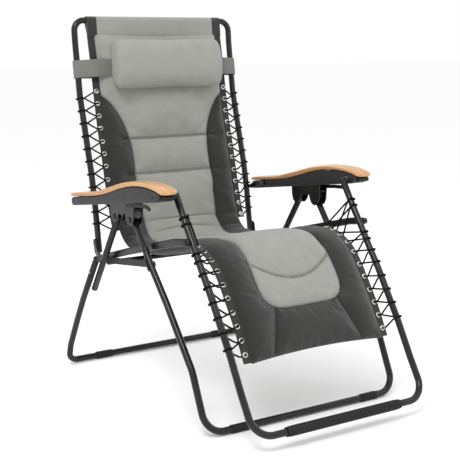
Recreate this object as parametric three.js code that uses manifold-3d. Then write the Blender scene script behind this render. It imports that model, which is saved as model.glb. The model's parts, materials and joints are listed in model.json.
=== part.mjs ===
// Padded zero gravity recliner. Millimetres, +Z up, the sitter faces -Y, X runs side to side.
// Side-view points are [y, z]. They are drawn in a working frame and shifted by MID_Y at the end.
import * as THREE from 'three';
import { mergeVertices } from 'three/addons/utils/BufferGeometryUtils.js';
import ManifoldModule from 'manifold-3d';

// ---- driving dimensions ----
const MID_Y = 19.25;            // working-frame y that becomes y = 0
const TUBE_R = 10;             // all frame tubes are 20 mm
const BACK_X = 293;            // back frame tube centre
const LEG_REST_X = 297;        // leg rest frame tube centre
const RAIL_X0 = 308;           // seat rail inner face
const RAIL_X1 = 319;           // seat rail outer face
const LINK_X0 = 321;           // link bar inner face, between seat rail and front leg
const LINK_X1 = 325.5;         // link bar outer face
const FRONT_LEG_X = 336;       // front leg tube centre
const STRUT_X = 338.4;         // rear upper strut centre, lapped inside the rear leg
const REAR_LEG_X = 359;        // rear leg tube centre
const ARM_X = 345;             // armrest centre
const WOOD_HALF = 29;          // half width of the wood arm top
const CASING_HALF = 27.5;      // half width of the arm casing
const SKIRT = 3;               // casing side wall thickness below its solid part
const SLIDE_X0 = 326.4;        // slide rail inner face, hidden between the casing walls
const SLIDE_X1 = 347.6;        // slide rail outer face
const STAY_X0 = 309.4;         // arm stay inner face, between the back tube's lacing and the armrest
const STAY_X1 = 315.6;         // arm stay outer face
const PLATE = 3;               // bracket sheet thickness
const BRACKET_X0 = 322;        // bracket inner plate, inner face
const BRACKET_X1 = 353;        // bracket outer plate, outer face
const PAD_HALF = 231;          // half width of the padded cover
const BAND_X0 = 231.4;         // lacing band, inner edge
const BAND_X1 = 252;           // lacing band, outer edge
const EYELET_X = 242;          // eyelet row
const EYELET_R = 4.2;          // hole for the cord
const BAND_THICK = 3;          // lacing band thickness
const PAD_HALF_THICK = 15;     // half thickness of the padded cover
const PILLOW_HALF = 195;       // half length of the head pillow
const PILLOW_DEPTH = 38;       // half depth of the head pillow
const PILLOW_HEIGHT = 76;      // half height of the head pillow
const PILLOW_AT = [438, 984];  // pillow centre, [y, z]
const CORD_R = 2;              // elastic cord radius
const FLOOR_Z = 12;            // height of the floor bars
const SLEEVE_R = 12;           // outer radius of the foot sleeves
const CLIP_R = 13.5;           // outer radius of the link bar clip
const CLIP_LENGTH = 34;        // length of that clip along the leg
const TOP_SLEEVE_R = 13.5;     // outer radius of the top bar pocket
const TOP_SLEEVE_HALF = 250;   // half length of the top bar pocket
const FOOT_SLEEVE_R = 15;      // outer radius of the foot bar grip
const FOOT_SLEEVE_HALF = 198;  // half length of the foot bar grip
const CAP_INNER = 201;         // inner end of the floor bar sleeves
const CAP_LENGTH = 58;         // length of the floor bar sleeves
const PIN_R = 6;               // arm and leg pivot pins
const PIN_HOLE_R = 6.05;       // hole in the bracket for those pins
const GAP = 0.3;               // clearance between touching pieces

// ---- hinge points, [y, z] ----
const BACK_HINGE = [352, 378];
const LEG_REST_HINGE = [-196, 518];
const LINK_PIVOT = [-26, 428];
const FRONT_LEG_PIVOT = [61, 548];
const REAR_LEG_PIVOT = [158, 545];
const ARM_PIVOT = [409, 556];
const OPEN_PIVOT = [-112, 640];
const LEG_RIVET = [303, 351];
const ARM_STAY_END = [338, 575];

// ---- side-view lines, [y, z] ----
const BACK_LINE = [[386, 392], [409, 541], [428, 636], [469, 777], [499, 886], [514, 991], [523, 1052],
  [529, 1122]];
const LEG_REST_LINE = [OPEN_PIVOT, [-167, 559], [-202, 512], [-244, 451], [-290, 389], [-383, 248],
  [-438, 153], [-505, 47]];
const FRONT_LEG_LINE = [FRONT_LEG_PIVOT, [-32, 428], [-122, 332], [-256, 172], [-330, FLOOR_Z]];
const REAR_STRUT_LINE = [REAR_LEG_PIVOT, [334, 287]];
const REAR_LEG_LINE = [[280, 385], [375, 249], [424, 170], [482, 70], [500, FLOOR_Z]];
const RAIL_LINE = [BACK_HINGE, [302, 392], [166, 431], [-133, 509], LEG_REST_HINGE];
const BACK_PAD_LINE = [[392, 505], [399, 539], [417, 619], [437, 700], [459, 779], [476, 859], [484, 899],
  [500, 990], [520, 1083]];
const BACK_BEND_LINE = [[383, 468], [391, 501]];
const SEAT_PAD_LINE = [[342, 426], [300, 414], [200, 420], [100, 438], [0, 462], [-80, 482], [-112, 487]];
const LEG_BEND_LINE = [[-142, 487], [-176, 479], [-203, 464]];
const LEG_PAD_LINE = [[-232, 444], [-288, 371], [-336, 303], [-375, 232], [-388, 208]];
const BACK_EYELETS = [[484, 899], [476, 859], [468, 820], [459, 779], [448, 739], [437, 700], [427, 661],
  [417, 619], [408, 579], [399, 539], [391, 503], [384, 465]];
const LEG_EYELETS = [[-104, 492], [-136, 489], [-170, 480], [-208, 461], [-239, 436], [-266, 404],
  [-290, 370], [-313, 337], [-336, 303], [-356, 268], [-375, 232]];
const LEG_WRAPS = [[-154, 578], [-166, 561], [-219, 487], [-232, 468], [-254, 437], [-278, 405], [-304, 368],
  [-328, 331], [-352, 295], [-377, 257]];

// ---- materials ----
const PAINT = {
  frame: { color: 0x1b1b1c, roughness: 0.38, metalness: 0.55 },
  casing: { color: 0x4c4c4b, roughness: 0.55, metalness: 0.0 },
  wood: { color: 0xb98a4e, roughness: 0.45, metalness: 0.0 },
  steel: { color: 0xa9abad, roughness: 0.3, metalness: 0.9 },
  black: { color: 0x171717, roughness: 0.7, metalness: 0.0 },
  fabric: { color: 0xa5a89e, roughness: 0.9, metalness: 0.0 },
  trim: { color: 0x3e3e3c, roughness: 0.9, metalness: 0.0 },
  cord: { color: 0x141414, roughness: 0.85, metalness: 0.0 },
};

const chair = new THREE.Group();
chair.name = 'zero_gravity_recliner';

function add(name, geometry, paint) {
  geometry.translate(0, -MID_Y, 0);
  const mesh = new THREE.Mesh(geometry, new THREE.MeshStandardMaterial(PAINT[paint]));
  mesh.name = name;
  chair.add(mesh);
}

// A path through exact stations, so straight runs cost no extra triangles.
class StationPath extends THREE.Curve {
  constructor(stations) {
    super();
    this.stations = stations;
  }

  getPoint(t, target = new THREE.Vector3()) {
    const last = this.stations.length - 1;
    const at = Math.min(Math.max(t, 0), 1) * last;
    const i = Math.min(Math.floor(at + 1e-9), last - 1);
    return target.lerpVectors(this.stations[i], this.stations[i + 1], at - i);
  }

  getPointAt(u, target) {
    return this.getPoint(u, target);
  }

  getTangentAt(u, target = new THREE.Vector3()) {
    const last = this.stations.length - 1;
    const i = Math.round(u * last);
    const before = this.stations[Math.max(i - 1, 0)];
    const here = this.stations[i];
    const after = this.stations[Math.min(i + 1, last)];
    const incoming = new THREE.Vector3().subVectors(here, before).normalize();
    const outgoing = new THREE.Vector3().subVectors(after, here).normalize();
    return target.addVectors(incoming, outgoing).normalize();
  }
}

// Rounds the corners of a polyline. Each corner radius can be set by index.
function rounded(points, radii, steps = 6) {
  const out = [points[0].clone()];
  for (let i = 1; i < points.length - 1; i += 1) {
    const p = points[i];
    const toBefore = new THREE.Vector3().subVectors(points[i - 1], p);
    const toAfter = new THREE.Vector3().subVectors(points[i + 1], p);
    const half = toBefore.angleTo(toAfter) / 2;
    const wanted = radii[i] ?? 60;
    const turn = Math.PI - 2 * half;
    if (turn < 0.02) {
      continue;
    }
    let cut = wanted / Math.tan(half);
    cut = Math.min(cut, toBefore.length() * 0.48, toAfter.length() * 0.48);
    const radius = cut * Math.tan(half);
    const a = p.clone().addScaledVector(toBefore.normalize(), cut);
    const b = p.clone().addScaledVector(toAfter.normalize(), cut);
    const inward = a.clone().add(b).multiplyScalar(0.5).sub(p).normalize();
    const centre = p.clone().addScaledVector(inward, radius / Math.sin(half));
    const from = a.clone().sub(centre);
    const axis = new THREE.Vector3().crossVectors(from, b.clone().sub(centre)).normalize();
    const count = Math.max(1, Math.round((steps * turn) / (Math.PI / 2)));
    for (let k = 0; k <= count; k += 1) {
      out.push(from.clone().applyAxisAngle(axis, (turn * k) / count).add(centre));
    }
  }
  out.push(points[points.length - 1].clone());
  return out;
}

function circle(radius, sides) {
  const shape = new THREE.Shape();
  for (let i = 0; i < sides; i += 1) {
    const a = (2 * Math.PI * i) / sides;
    const x = radius * Math.cos(a);
    const y = radius * Math.sin(a);
    if (i === 0) {
      shape.moveTo(x, y);
    } else {
      shape.lineTo(x, y);
    }
  }
  shape.closePath();
  return shape;
}

function tube(stations, radius = TUBE_R, sides = 12) {
  return new THREE.ExtrudeGeometry(circle(radius, sides), {
    steps: stations.length - 1,
    extrudePath: new StationPath(stations),
    bevelEnabled: false,
  });
}

function sideLine(line, x) {
  return line.map(([y, z]) => new THREE.Vector3(x, y, z));
}

// A tube bent into a U: down one side, across, and up the other side.
function frameTube(line, x, cornerRadius) {
  const points = [...sideLine(line, -x), ...sideLine(line, x).reverse()];
  const radii = {};
  radii[line.length - 1] = cornerRadius;
  radii[line.length] = cornerRadius;
  return tube(rounded(points, radii));
}

function outline(points) {
  const shape = new THREE.Shape();
  points.forEach(([y, z], i) => {
    if (i === 0) {
      shape.moveTo(y, z);
    } else {
      shape.lineTo(y, z);
    }
  });
  shape.closePath();
  return shape;
}

// A side-view outline pushed out along X from x0 to x1.
function slab(points, x0, x1, holes = []) {
  const shape = outline(points);
  holes.forEach((hole) => shape.holes.push(outline(hole)));
  const geometry = new THREE.ExtrudeGeometry(shape, { depth: x1 - x0, bevelEnabled: false });
  const basis = new THREE.Matrix4().makeBasis(
    new THREE.Vector3(0, 1, 0),
    new THREE.Vector3(0, 0, 1),
    new THREE.Vector3(1, 0, 0),
  );
  geometry.applyMatrix4(basis);
  geometry.translate(x0, 0, 0);
  return geometry;
}

function sideSlab(points, x0, x1, side, holes = []) {
  return side < 0 ? slab(points, -x1, -x0, holes) : slab(points, x0, x1, holes);
}

function normals(line) {
  return line.map((p, i) => {
    const a = line[Math.max(i - 1, 0)];
    const b = line[Math.min(i + 1, line.length - 1)];
    const dy = b[0] - a[0];
    const dz = b[1] - a[1];
    const length = Math.hypot(dy, dz);
    return [-dz / length, dy / length];
  });
}

function offset(line, distance) {
  const n = normals(line);
  return line.map(([y, z], i) => [y + n[i][0] * distance, z + n[i][1] * distance]);
}

// A band of constant half height along a line, with round ends when asked.
function ribbon(line, half, roundEnds = true) {
  const upper = offset(line, half);
  const lower = offset(line, -half).reverse();
  if (!roundEnds) {
    return [...upper, ...lower];
  }
  const cap = (centre, from) => {
    const start = Math.atan2(from[1] - centre[1], from[0] - centre[0]);
    const points = [];
    for (let k = 1; k < 6; k += 1) {
      const a = start - (Math.PI * k) / 6;
      points.push([centre[0] + half * Math.cos(a), centre[1] + half * Math.sin(a)]);
    }
    return points;
  };
  const endCap = cap(line[line.length - 1], upper[upper.length - 1]);
  const startCap = cap(line[0], lower[lower.length - 1]);
  return [...upper, ...endCap, ...lower, ...startCap];
}

function ring([y, z], radius, sides = 12) {
  const points = [];
  for (let i = 0; i < sides; i += 1) {
    const a = (2 * Math.PI * i) / sides;
    points.push([y + radius * Math.cos(a), z + radius * Math.sin(a)]);
  }
  return points;
}

function pin([y, z], radius, x0, x1, side, sides = 16) {
  return sideSlab(ring([y, z], radius, sides), x0, x1, side);
}

// A hollow sleeve along X, turned about its own axis.
function sleeve([y, z], inner, outer, x0, x1) {
  const half = (x1 - x0) / 2;
  const bevel = Math.min(1, (outer - inner) / 3);
  const profile = [
    [inner, -half], [outer - bevel, -half], [outer, -half + bevel],
    [outer, half - bevel], [outer - bevel, half], [inner, half], [inner, -half],
  ].map(([r, h]) => new THREE.Vector2(r, h));
  const geometry = new THREE.LatheGeometry(profile, 16);
  geometry.rotateZ(-Math.PI / 2);
  geometry.translate((x0 + x1) / 2, y, z);
  return geometry;
}

// Direction facts about the nearest point of a side-view line.
function nearestOn(line, [py, pz]) {
  let best = null;
  for (let i = 0; i < line.length - 1; i += 1) {
    const [ay, az] = line[i];
    const dy = line[i + 1][0] - ay;
    const dz = line[i + 1][1] - az;
    const length = Math.hypot(dy, dz);
    const f = Math.min(Math.max(((py - ay) * dy + (pz - az) * dz) / (length * length), 0), 1);
    const y = ay + f * dy;
    const z = az + f * dz;
    const distance = Math.hypot(py - y, pz - z);
    if (best === null || distance < best.distance) {
      best = { distance, hit: [y, z, -dz / length, dy / length] };
    }
  }
  return best.hit;
}

function extend(from, to, distance) {
  const length = Math.hypot(to[0] - from[0], to[1] - from[1]);
  return [to[0] + ((to[0] - from[0]) / length) * distance, to[1] + ((to[1] - from[1]) / length) * distance];
}

// A plastic clip on the back of the front leg tube, open towards the link bar.
function legClip([y, z], side) {
  const across = [];
  for (let k = 0; k <= 8; k += 1) {
    across.push(THREE.MathUtils.degToRad(-45 + (145 * k) / 8));
  }
  const inner = across.map((a) => [TUBE_R + GAP, a]);
  const outer = across.map((a) => [CLIP_R, a]).reverse();
  const points = [...inner, ...outer].map(([r, a]) => [side * r * Math.sin(a), r * Math.cos(a)]);
  const geometry = new THREE.ExtrudeGeometry(outline(points), { depth: CLIP_LENGTH, bevelEnabled: false });
  const [top, next] = FRONT_LEG_LINE;
  const leg = new THREE.Vector3(0, top[0] - next[0], top[1] - next[1]).normalize();
  const behind = new THREE.Vector3(0, leg.z, -leg.y);
  geometry.applyMatrix4(new THREE.Matrix4().makeBasis(new THREE.Vector3(1, 0, 0), behind, leg));
  const [cy, cz] = nearestOn(FRONT_LEG_LINE, [y, z]);
  geometry.translate(side * FRONT_LEG_X, cy - leg.y * CLIP_LENGTH / 2, cz - leg.z * CLIP_LENGTH / 2);
  return geometry;
}

// A pin with a round head outside the bracket, its shank reaching in to the leg.
function headedPin([y, z], shankEnd, side) {
  const head = BRACKET_X1 + GAP;
  const profile = [
    [0, shankEnd], [6, shankEnd], [6, head], [9, head], [9, head + 1.2], [7.5, head + 2.2], [0, head + 2.2],
  ].map(([r, h]) => new THREE.Vector2(r, h));
  const geometry = new THREE.LatheGeometry(profile, 16);
  geometry.rotateZ(side < 0 ? Math.PI / 2 : -Math.PI / 2);
  geometry.translate(0, y, z);
  return geometry;
}

const kernel = await ManifoldModule();
kernel.setup();

function solid(geometry) {
  const bare = new THREE.BufferGeometry();
  bare.setAttribute('position', geometry.attributes.position);
  if (geometry.index) {
    bare.setIndex(geometry.index);
  }
  const welded = mergeVertices(bare, 1e-4);
  const mesh = new kernel.Mesh({
    numProp: 3,
    vertProperties: new Float32Array(welded.attributes.position.array),
    triVerts: new Uint32Array(welded.index.array),
  });
  return new kernel.Manifold(mesh);
}

function fuse(geometries) {
  let whole = solid(geometries[0]);
  for (const piece of geometries.slice(1)) {
    whole = whole.add(solid(piece));
  }
  const mesh = whole.getMesh();
  const geometry = new THREE.BufferGeometry();
  geometry.setAttribute('position', new THREE.BufferAttribute(new Float32Array(mesh.vertProperties), 3));
  geometry.setIndex(new THREE.BufferAttribute(new Uint32Array(mesh.triVerts), 1));
  geometry.computeVertexNormals();
  return geometry;
}

const SIDES = [[-1, 'left'], [1, 'right']];

// ---- back frame and its hinges ----
add('back_frame', frameTube(BACK_LINE, BACK_X, 40), 'frame');
const TOP_SLEEVE = sleeve(BACK_LINE[7], TUBE_R + GAP, TOP_SLEEVE_R, -TOP_SLEEVE_HALF, TOP_SLEEVE_HALF);
add('top_bar_sleeve', TOP_SLEEVE, 'fabric');
for (const [side, word] of SIDES) {
  const plate = ribbon([[391, 424], [384, 396], BACK_HINGE], 11);
  add(`back_hinge_plate_${word}`, sideSlab(plate, BACK_X + TUBE_R + GAP, RAIL_X0 - 0.4, side), 'frame');
  add(`back_hinge_pin_${word}`, pin(BACK_HINGE, 7, LINK_X1 + GAP, LINK_X1 + 3.5, side), 'black');
  const pivot = pin(ARM_PIVOT, PIN_R, BACK_X + TUBE_R + GAP, ARM_X - CASING_HALF - GAP, side);
  const stay = sideSlab(ribbon([ARM_PIVOT, ARM_STAY_END], 8), STAY_X0, STAY_X1, side);
  add(`arm_pivot_stay_${word}`, fuse([pivot, stay]), 'steel');
}

// ---- seat ----
const rail = ribbon(RAIL_LINE, 11);
for (const [side, word] of SIDES) {
  add(`seat_rail_${word}`, sideSlab(rail, RAIL_X0, RAIL_X1, side), 'frame');
  add(`leg_rest_hinge_pin_${word}`, pin(LEG_REST_HINGE, 9, RAIL_X1 + GAP, RAIL_X1 + 4, side), 'black');
}
add('seat_cross_tube', slab(ring([275, 380], 8), -RAIL_X1, RAIL_X1), 'frame');

// ---- leg rest frame ----
add('leg_rest_frame', frameTube(LEG_REST_LINE, LEG_REST_X, 65), 'frame');
const FOOT_SLEEVE = sleeve(LEG_REST_LINE[7], TUBE_R + GAP, FOOT_SLEEVE_R, -FOOT_SLEEVE_HALF, FOOT_SLEEVE_HALF);
add('foot_bar_sleeve', FOOT_SLEEVE, 'black');
for (const [side, word] of SIDES) {
  const bolt = pin(OPEN_PIVOT, PIN_R, LEG_REST_X + TUBE_R + GAP, ARM_X - CASING_HALF - 0.8, side);
  add(`open_pivot_bolt_${word}`, bolt, 'steel');
}

// ---- front and rear legs ----
add('front_leg_frame', frameTube(FRONT_LEG_LINE, FRONT_LEG_X, 57), 'frame');
add('rear_leg_frame', frameTube(REAR_LEG_LINE, REAR_LEG_X, 57), 'frame');
for (const [side, word] of SIDES) {
  add(`rear_strut_${word}`, tube(sideLine(REAR_STRUT_LINE, side * STRUT_X)), 'frame');
  const rivetX = REAR_LEG_X + TUBE_R + GAP;
  add(`rear_leg_rivet_${word}`, pin(LEG_RIVET, 5, rivetX, rivetX + 2.4, side), 'steel');
  const x0 = side < 0 ? -CAP_INNER - CAP_LENGTH : CAP_INNER;
  const frontCap = sleeve(FRONT_LEG_LINE[4], TUBE_R + GAP, SLEEVE_R, x0, x0 + CAP_LENGTH);
  const rearCap = sleeve(REAR_LEG_LINE[4], TUBE_R + GAP, SLEEVE_R, x0, x0 + CAP_LENGTH);
  add(`front_foot_sleeve_${word}`, frontCap, 'black');
  add(`rear_foot_sleeve_${word}`, rearCap, 'black');
}

// ---- link bars: seat hinge to front leg ----
for (const [side, word] of SIDES) {
  add(`link_bar_${word}`, sideSlab(ribbon([LINK_PIVOT, BACK_HINGE], 10), LINK_X0, LINK_X1, side), 'casing');
  add(`link_clip_${word}`, legClip(LINK_PIVOT, side), 'black');
}

// ---- arm brackets: two plates and a web, legs pinned below the web ----
const PLATE_LINE = [[34, 601], [36, 554], [44, 538], [58, 531], [74, 535], [83, 547], [90, 564], [130, 559],
  [138, 542], [148, 531], [163, 528], [176, 537], [182, 554], [184, 580], [95, 592.5]];
const WEB_LINE = [[38, 581], [178, 560.5], [178, 557.5], [38, 578]];
for (const [side, word] of SIDES) {
  const holes = [ring(FRONT_LEG_PIVOT, PIN_HOLE_R, 16), ring(REAR_LEG_PIVOT, PIN_HOLE_R, 16)];
  const inner = sideSlab(PLATE_LINE, BRACKET_X0, BRACKET_X0 + PLATE, side);
  const outer = sideSlab(PLATE_LINE, BRACKET_X1 - PLATE, BRACKET_X1, side, holes);
  const web = sideSlab(WEB_LINE, BRACKET_X0 + 1, BRACKET_X1 - 1, side);
  add(`arm_bracket_${word}`, fuse([inner, outer, web]), 'frame');
  const frontInset = FRONT_LEG_X + TUBE_R + GAP;
  const rearInset = STRUT_X + TUBE_R + GAP;
  add(`front_leg_pin_${word}`, headedPin(FRONT_LEG_PIVOT, frontInset, side), 'black');
  add(`rear_leg_pin_${word}`, headedPin(REAR_LEG_PIVOT, rearInset, side), 'black');
  const lever = ribbon([[70, 590], [-6, 599], [-44, 601], [-62, 596]], 5.5);
  add(`lock_lever_${word}`, sideSlab(lever, BRACKET_X1 + GAP, BRACKET_X1 + 3.6, side), 'black');
}

// ---- armrests ----
const ARM_TOP = [[420, 586], [352, 596], [275, 606], [215, 621], [150, 638], [101, 651.5], [60, 660.5],
  [20, 667], [-13, 670], [-53, 672], [-93, 671], [-128, 667], [-155, 660], [-166, 652]];
const ARM_SEAM = [[-163, 646.5], [-132, 653.5], [-93, 657.5], [-53, 658], [-13, 655.5], [20, 651], [60, 643],
  [101, 632.5], [150, 618], [215, 602], [275, 592], [352, 582], [418, 573]];
const CASING_TOP = [[-150, 648.8], [-132, 652.9], [-93, 656.9], [-53, 657.4], [-13, 654.9], [20, 650.4],
  [60, 642.4], [101, 631.9], [150, 617.4], [215, 601.4], [275, 591.4], [352, 581.4], [414, 573]];
const CASING_CORE_UNDER = [[416, 556], [410, 547], [262, 568], [262, 584.6], [95, 609], [-20, 625.6],
  [-110, 638], [-110, 622], [-134, 625.5], [-148, 634], [-154, 647]];
const CASING_SKIRT_UNDER = [[416, 556], [410, 547], [262, 568], [95, 593], [-20, 609], [-134, 625.5],
  [-148, 634], [-154, 647]];
const SLIDE_RAIL = [[261, 569], [95, 593], [-20, 609], [-109, 621.5], [-109, 637], [-20, 625], [95, 608.4],
  [261, 584.4]];
for (const [side, word] of SIDES) {
  const wood = sideSlab([...ARM_TOP, ...ARM_SEAM], ARM_X - WOOD_HALF, ARM_X + WOOD_HALF, side);
  add(`arm_top_${word}`, wood, 'wood');
  const inner = ARM_X - CASING_HALF;
  const outer = ARM_X + CASING_HALF;
  const core = sideSlab([...CASING_TOP, ...CASING_CORE_UNDER], inner, outer, side);
  const innerSkirt = sideSlab([...CASING_TOP, ...CASING_SKIRT_UNDER], inner, inner + SKIRT, side);
  const outerSkirt = sideSlab([...CASING_TOP, ...CASING_SKIRT_UNDER], outer - SKIRT, outer, side);
  add(`arm_casing_${word}`, fuse([core, innerSkirt, outerSkirt]), 'casing');
  add(`arm_slide_rail_${word}`, sideSlab(SLIDE_RAIL, SLIDE_X0, SLIDE_X1, side), 'frame');
}

// ---- padded cover, one pad per moving panel and one for each bend between panels ----
add('back_bend_pad', slab(ribbon(BACK_BEND_LINE, PAD_HALF_THICK, false), -PAD_HALF, PAD_HALF), 'fabric');
add('leg_bend_pad', slab(ribbon(LEG_BEND_LINE, PAD_HALF_THICK, false), -PAD_HALF, PAD_HALF), 'fabric');
add('back_pad', slab(ribbon(BACK_PAD_LINE, PAD_HALF_THICK, false), -PAD_HALF, PAD_HALF), 'fabric');
add('seat_pad', slab(ribbon(SEAT_PAD_LINE, PAD_HALF_THICK, false), -PAD_HALF, PAD_HALF), 'fabric');
add('leg_pad', slab(ribbon(LEG_PAD_LINE, PAD_HALF_THICK, false), -PAD_HALF, PAD_HALF), 'fabric');

// A thin strip that follows a side-view line. Each eyelet sits in its own cell of the strip.
function lacingBand(eyelets, startExtra, endExtra, side) {
  const first = extend(eyelets[1], eyelets[0], startExtra);
  const last = extend(eyelets[eyelets.length - 2], eyelets[eyelets.length - 1], endExtra);
  const line = [first, ...eyelets, last];
  const n = normals(line);
  const along = [0];
  for (let i = 1; i < line.length; i += 1) {
    along.push(along[i - 1] + Math.hypot(line[i][0] - line[i - 1][0], line[i][1] - line[i - 1][1]));
  }
  const spot = ([x, s], t) => {
    let i = 0;
    while (i < along.length - 2 && s > along[i + 1]) {
      i += 1;
    }
    const f = (s - along[i]) / (along[i + 1] - along[i]);
    const mix = (a, b) => a + f * (b - a);
    return [
      side * x,
      mix(line[i][0], line[i + 1][0]) + mix(n[i][0], n[i + 1][0]) * t,
      mix(line[i][1], line[i + 1][1]) + mix(n[i][1], n[i + 1][1]) * t,
    ];
  };
  const corners = [];
  const face = (a, b, c, d) => {
    const order = side < 0 ? [a, c, b, a, d, c] : [a, b, c, a, c, d];
    order.forEach((p) => corners.push(...p));
  };
  const top = BAND_THICK / 2;
  const count = eyelets.length;
  for (let i = 1; i <= count; i += 1) {
    const s = along[i];
    const sa = i === 1 ? along[0] : (along[i - 1] + s) / 2;
    const sb = i === count ? along[count + 1] : (along[i + 1] + s) / 2;
    const rim = [[BAND_X1, s], [BAND_X1, sb], [EYELET_X, sb], [BAND_X0, sb], [BAND_X0, s], [BAND_X0, sa],
      [EYELET_X, sa], [BAND_X1, sa]];
    const hole = ring([EYELET_X, s], EYELET_R, 8);
    for (let k = 0; k < 8; k += 1) {
      const j = (k + 1) % 8;
      face(spot(hole[k], top), spot(rim[k], top), spot(rim[j], top), spot(hole[j], top));
      face(spot(hole[j], -top), spot(rim[j], -top), spot(rim[k], -top), spot(hole[k], -top));
      face(spot(hole[k], top), spot(hole[j], top), spot(hole[j], -top), spot(hole[k], -top));
      const inside = (k === 1 || k === 2) ? i < count : (k === 5 || k === 6) && i > 1;
      if (!inside) {
        face(spot(rim[k], -top), spot(rim[j], -top), spot(rim[j], top), spot(rim[k], top));
      }
    }
  }
  const geometry = new THREE.BufferGeometry();
  geometry.setAttribute('position', new THREE.BufferAttribute(new Float32Array(corners), 3));
  geometry.computeVertexNormals();
  return geometry;
}

// The elastic cord: through each eyelet, round the frame tube, on to the next eyelet.
function lacingCord(eyelets, wraps, frameLine, frameX, side) {
  const n = normals(eyelets);
  const reach = TUBE_R + CORD_R + 1.8;
  const stations = [];
  const at = (x, y, z) => stations.push(new THREE.Vector3(side * x, y, z));
  eyelets.forEach(([y, z], i) => {
    const [ty, tz, my, mz] = nearestOn(frameLine, wraps[Math.min(i, wraps.length - 1)]);
    const facing = 8 * Math.sign((ty - y) * n[i][0] + (tz - z) * n[i][1]);
    const [ny, nz] = [n[i][0] * facing, n[i][1] * facing];
    if (i > 0) {
      at(BAND_X1 + 5, y - ny, z - nz);
    }
    at(EYELET_X, y - ny, z - nz);
    at(EYELET_X, y + ny, z + nz);
    if (i === wraps.length) {
      return;
    }
    const towards = Math.sign((y - ty) * my + (z - tz) * mz);
    for (let k = -3; k <= 2; k += 1) {
      const a = (k * Math.PI) / 4;
      const d = reach * Math.sin(a) * towards;
      at(frameX + reach * Math.cos(a), ty + my * d, tz + mz * d);
    }
  });
  return tube(stations, CORD_R, 5);
}

// Each turn round the back tube lies midway between two eyelets, one is raised to clear the arm pivot.
const backWraps = BACK_EYELETS.slice(1).map((p, i) => {
  const q = BACK_EYELETS[i];
  const middle = (p[1] + q[1]) / 2;
  const z = Math.abs(middle - ARM_PIVOT[1]) < 12 ? ARM_PIVOT[1] + 14 : middle;
  return [(p[0] + q[0]) / 2, z];
});
for (const [side, word] of SIDES) {
  add(`back_lacing_band_${word}`, lacingBand(BACK_EYELETS, 20, 12, side), 'trim');
  add(`leg_lacing_band_${word}`, lacingBand(LEG_EYELETS, 14, 20, side), 'trim');
  add(`back_cord_${word}`, lacingCord(BACK_EYELETS, backWraps, BACK_LINE, BACK_X, side), 'cord');
  add(`leg_cord_${word}`, lacingCord(LEG_EYELETS, LEG_WRAPS, LEG_REST_LINE, LEG_REST_X, side), 'cord');
}

// ---- head pillow on its elastic strap ----
const STRAP_INNER = [[-304.2, -5], [-299, -11.4], [299, -11.4], [304.2, -5], [304.2, 5], [298, 13],
  [236, 31.2], [-236, 31.2], [-298, 13], [-304.2, 5]];
const STRAP_OUTER = [[-306.4, -6], [-300, -13.4], [300, -13.4], [306.4, -6], [306.4, 6], [299.5, 15],
  [236.6, 33.4], [-236.6, 33.4], [-299.5, 15], [-306.4, 6]];
const STRAP_HEIGHT = 56;
const STRAP_AT = [506.6, 939];
const BACK_TILT = Math.atan2(BACK_LINE[5][0] - BACK_LINE[4][0], BACK_LINE[5][1] - BACK_LINE[4][1]);
const strapShape = outline(STRAP_OUTER);
strapShape.holes.push(outline([...STRAP_INNER].reverse()));
const strap = new THREE.ExtrudeGeometry(strapShape, { depth: STRAP_HEIGHT, bevelEnabled: false });
strap.applyMatrix4(new THREE.Matrix4().makeBasis(
  new THREE.Vector3(-1, 0, 0),
  new THREE.Vector3(0, -1, 0),
  new THREE.Vector3(0, 0, 1),
));
strap.rotateX(-BACK_TILT);
strap.translate(0, STRAP_AT[0], STRAP_AT[1]);
add('pillow_strap', strap, 'fabric');

const pillowProfile = [];
for (let i = 0; i < 24; i += 1) {
  const a = (2 * Math.PI * i) / 24;
  const across = PILLOW_DEPTH * Math.cos(a);
  const up = PILLOW_HEIGHT * Math.sin(a);
  pillowProfile.push([
    PILLOW_AT[0] + across * Math.cos(BACK_TILT) + up * Math.sin(BACK_TILT),
    PILLOW_AT[1] - across * Math.sin(BACK_TILT) + up * Math.cos(BACK_TILT),
  ]);
}
add('head_pillow', slab(pillowProfile, -PILLOW_HALF, PILLOW_HALF), 'fabric');

export default chair;
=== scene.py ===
"""Zero gravity recliner: the visual model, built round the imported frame, in millimetres until the mesh."""
import json
import math
from contextlib import contextmanager

import bmesh
import bpy
import numpy as np
from mathutils import Matrix, Vector

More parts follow.
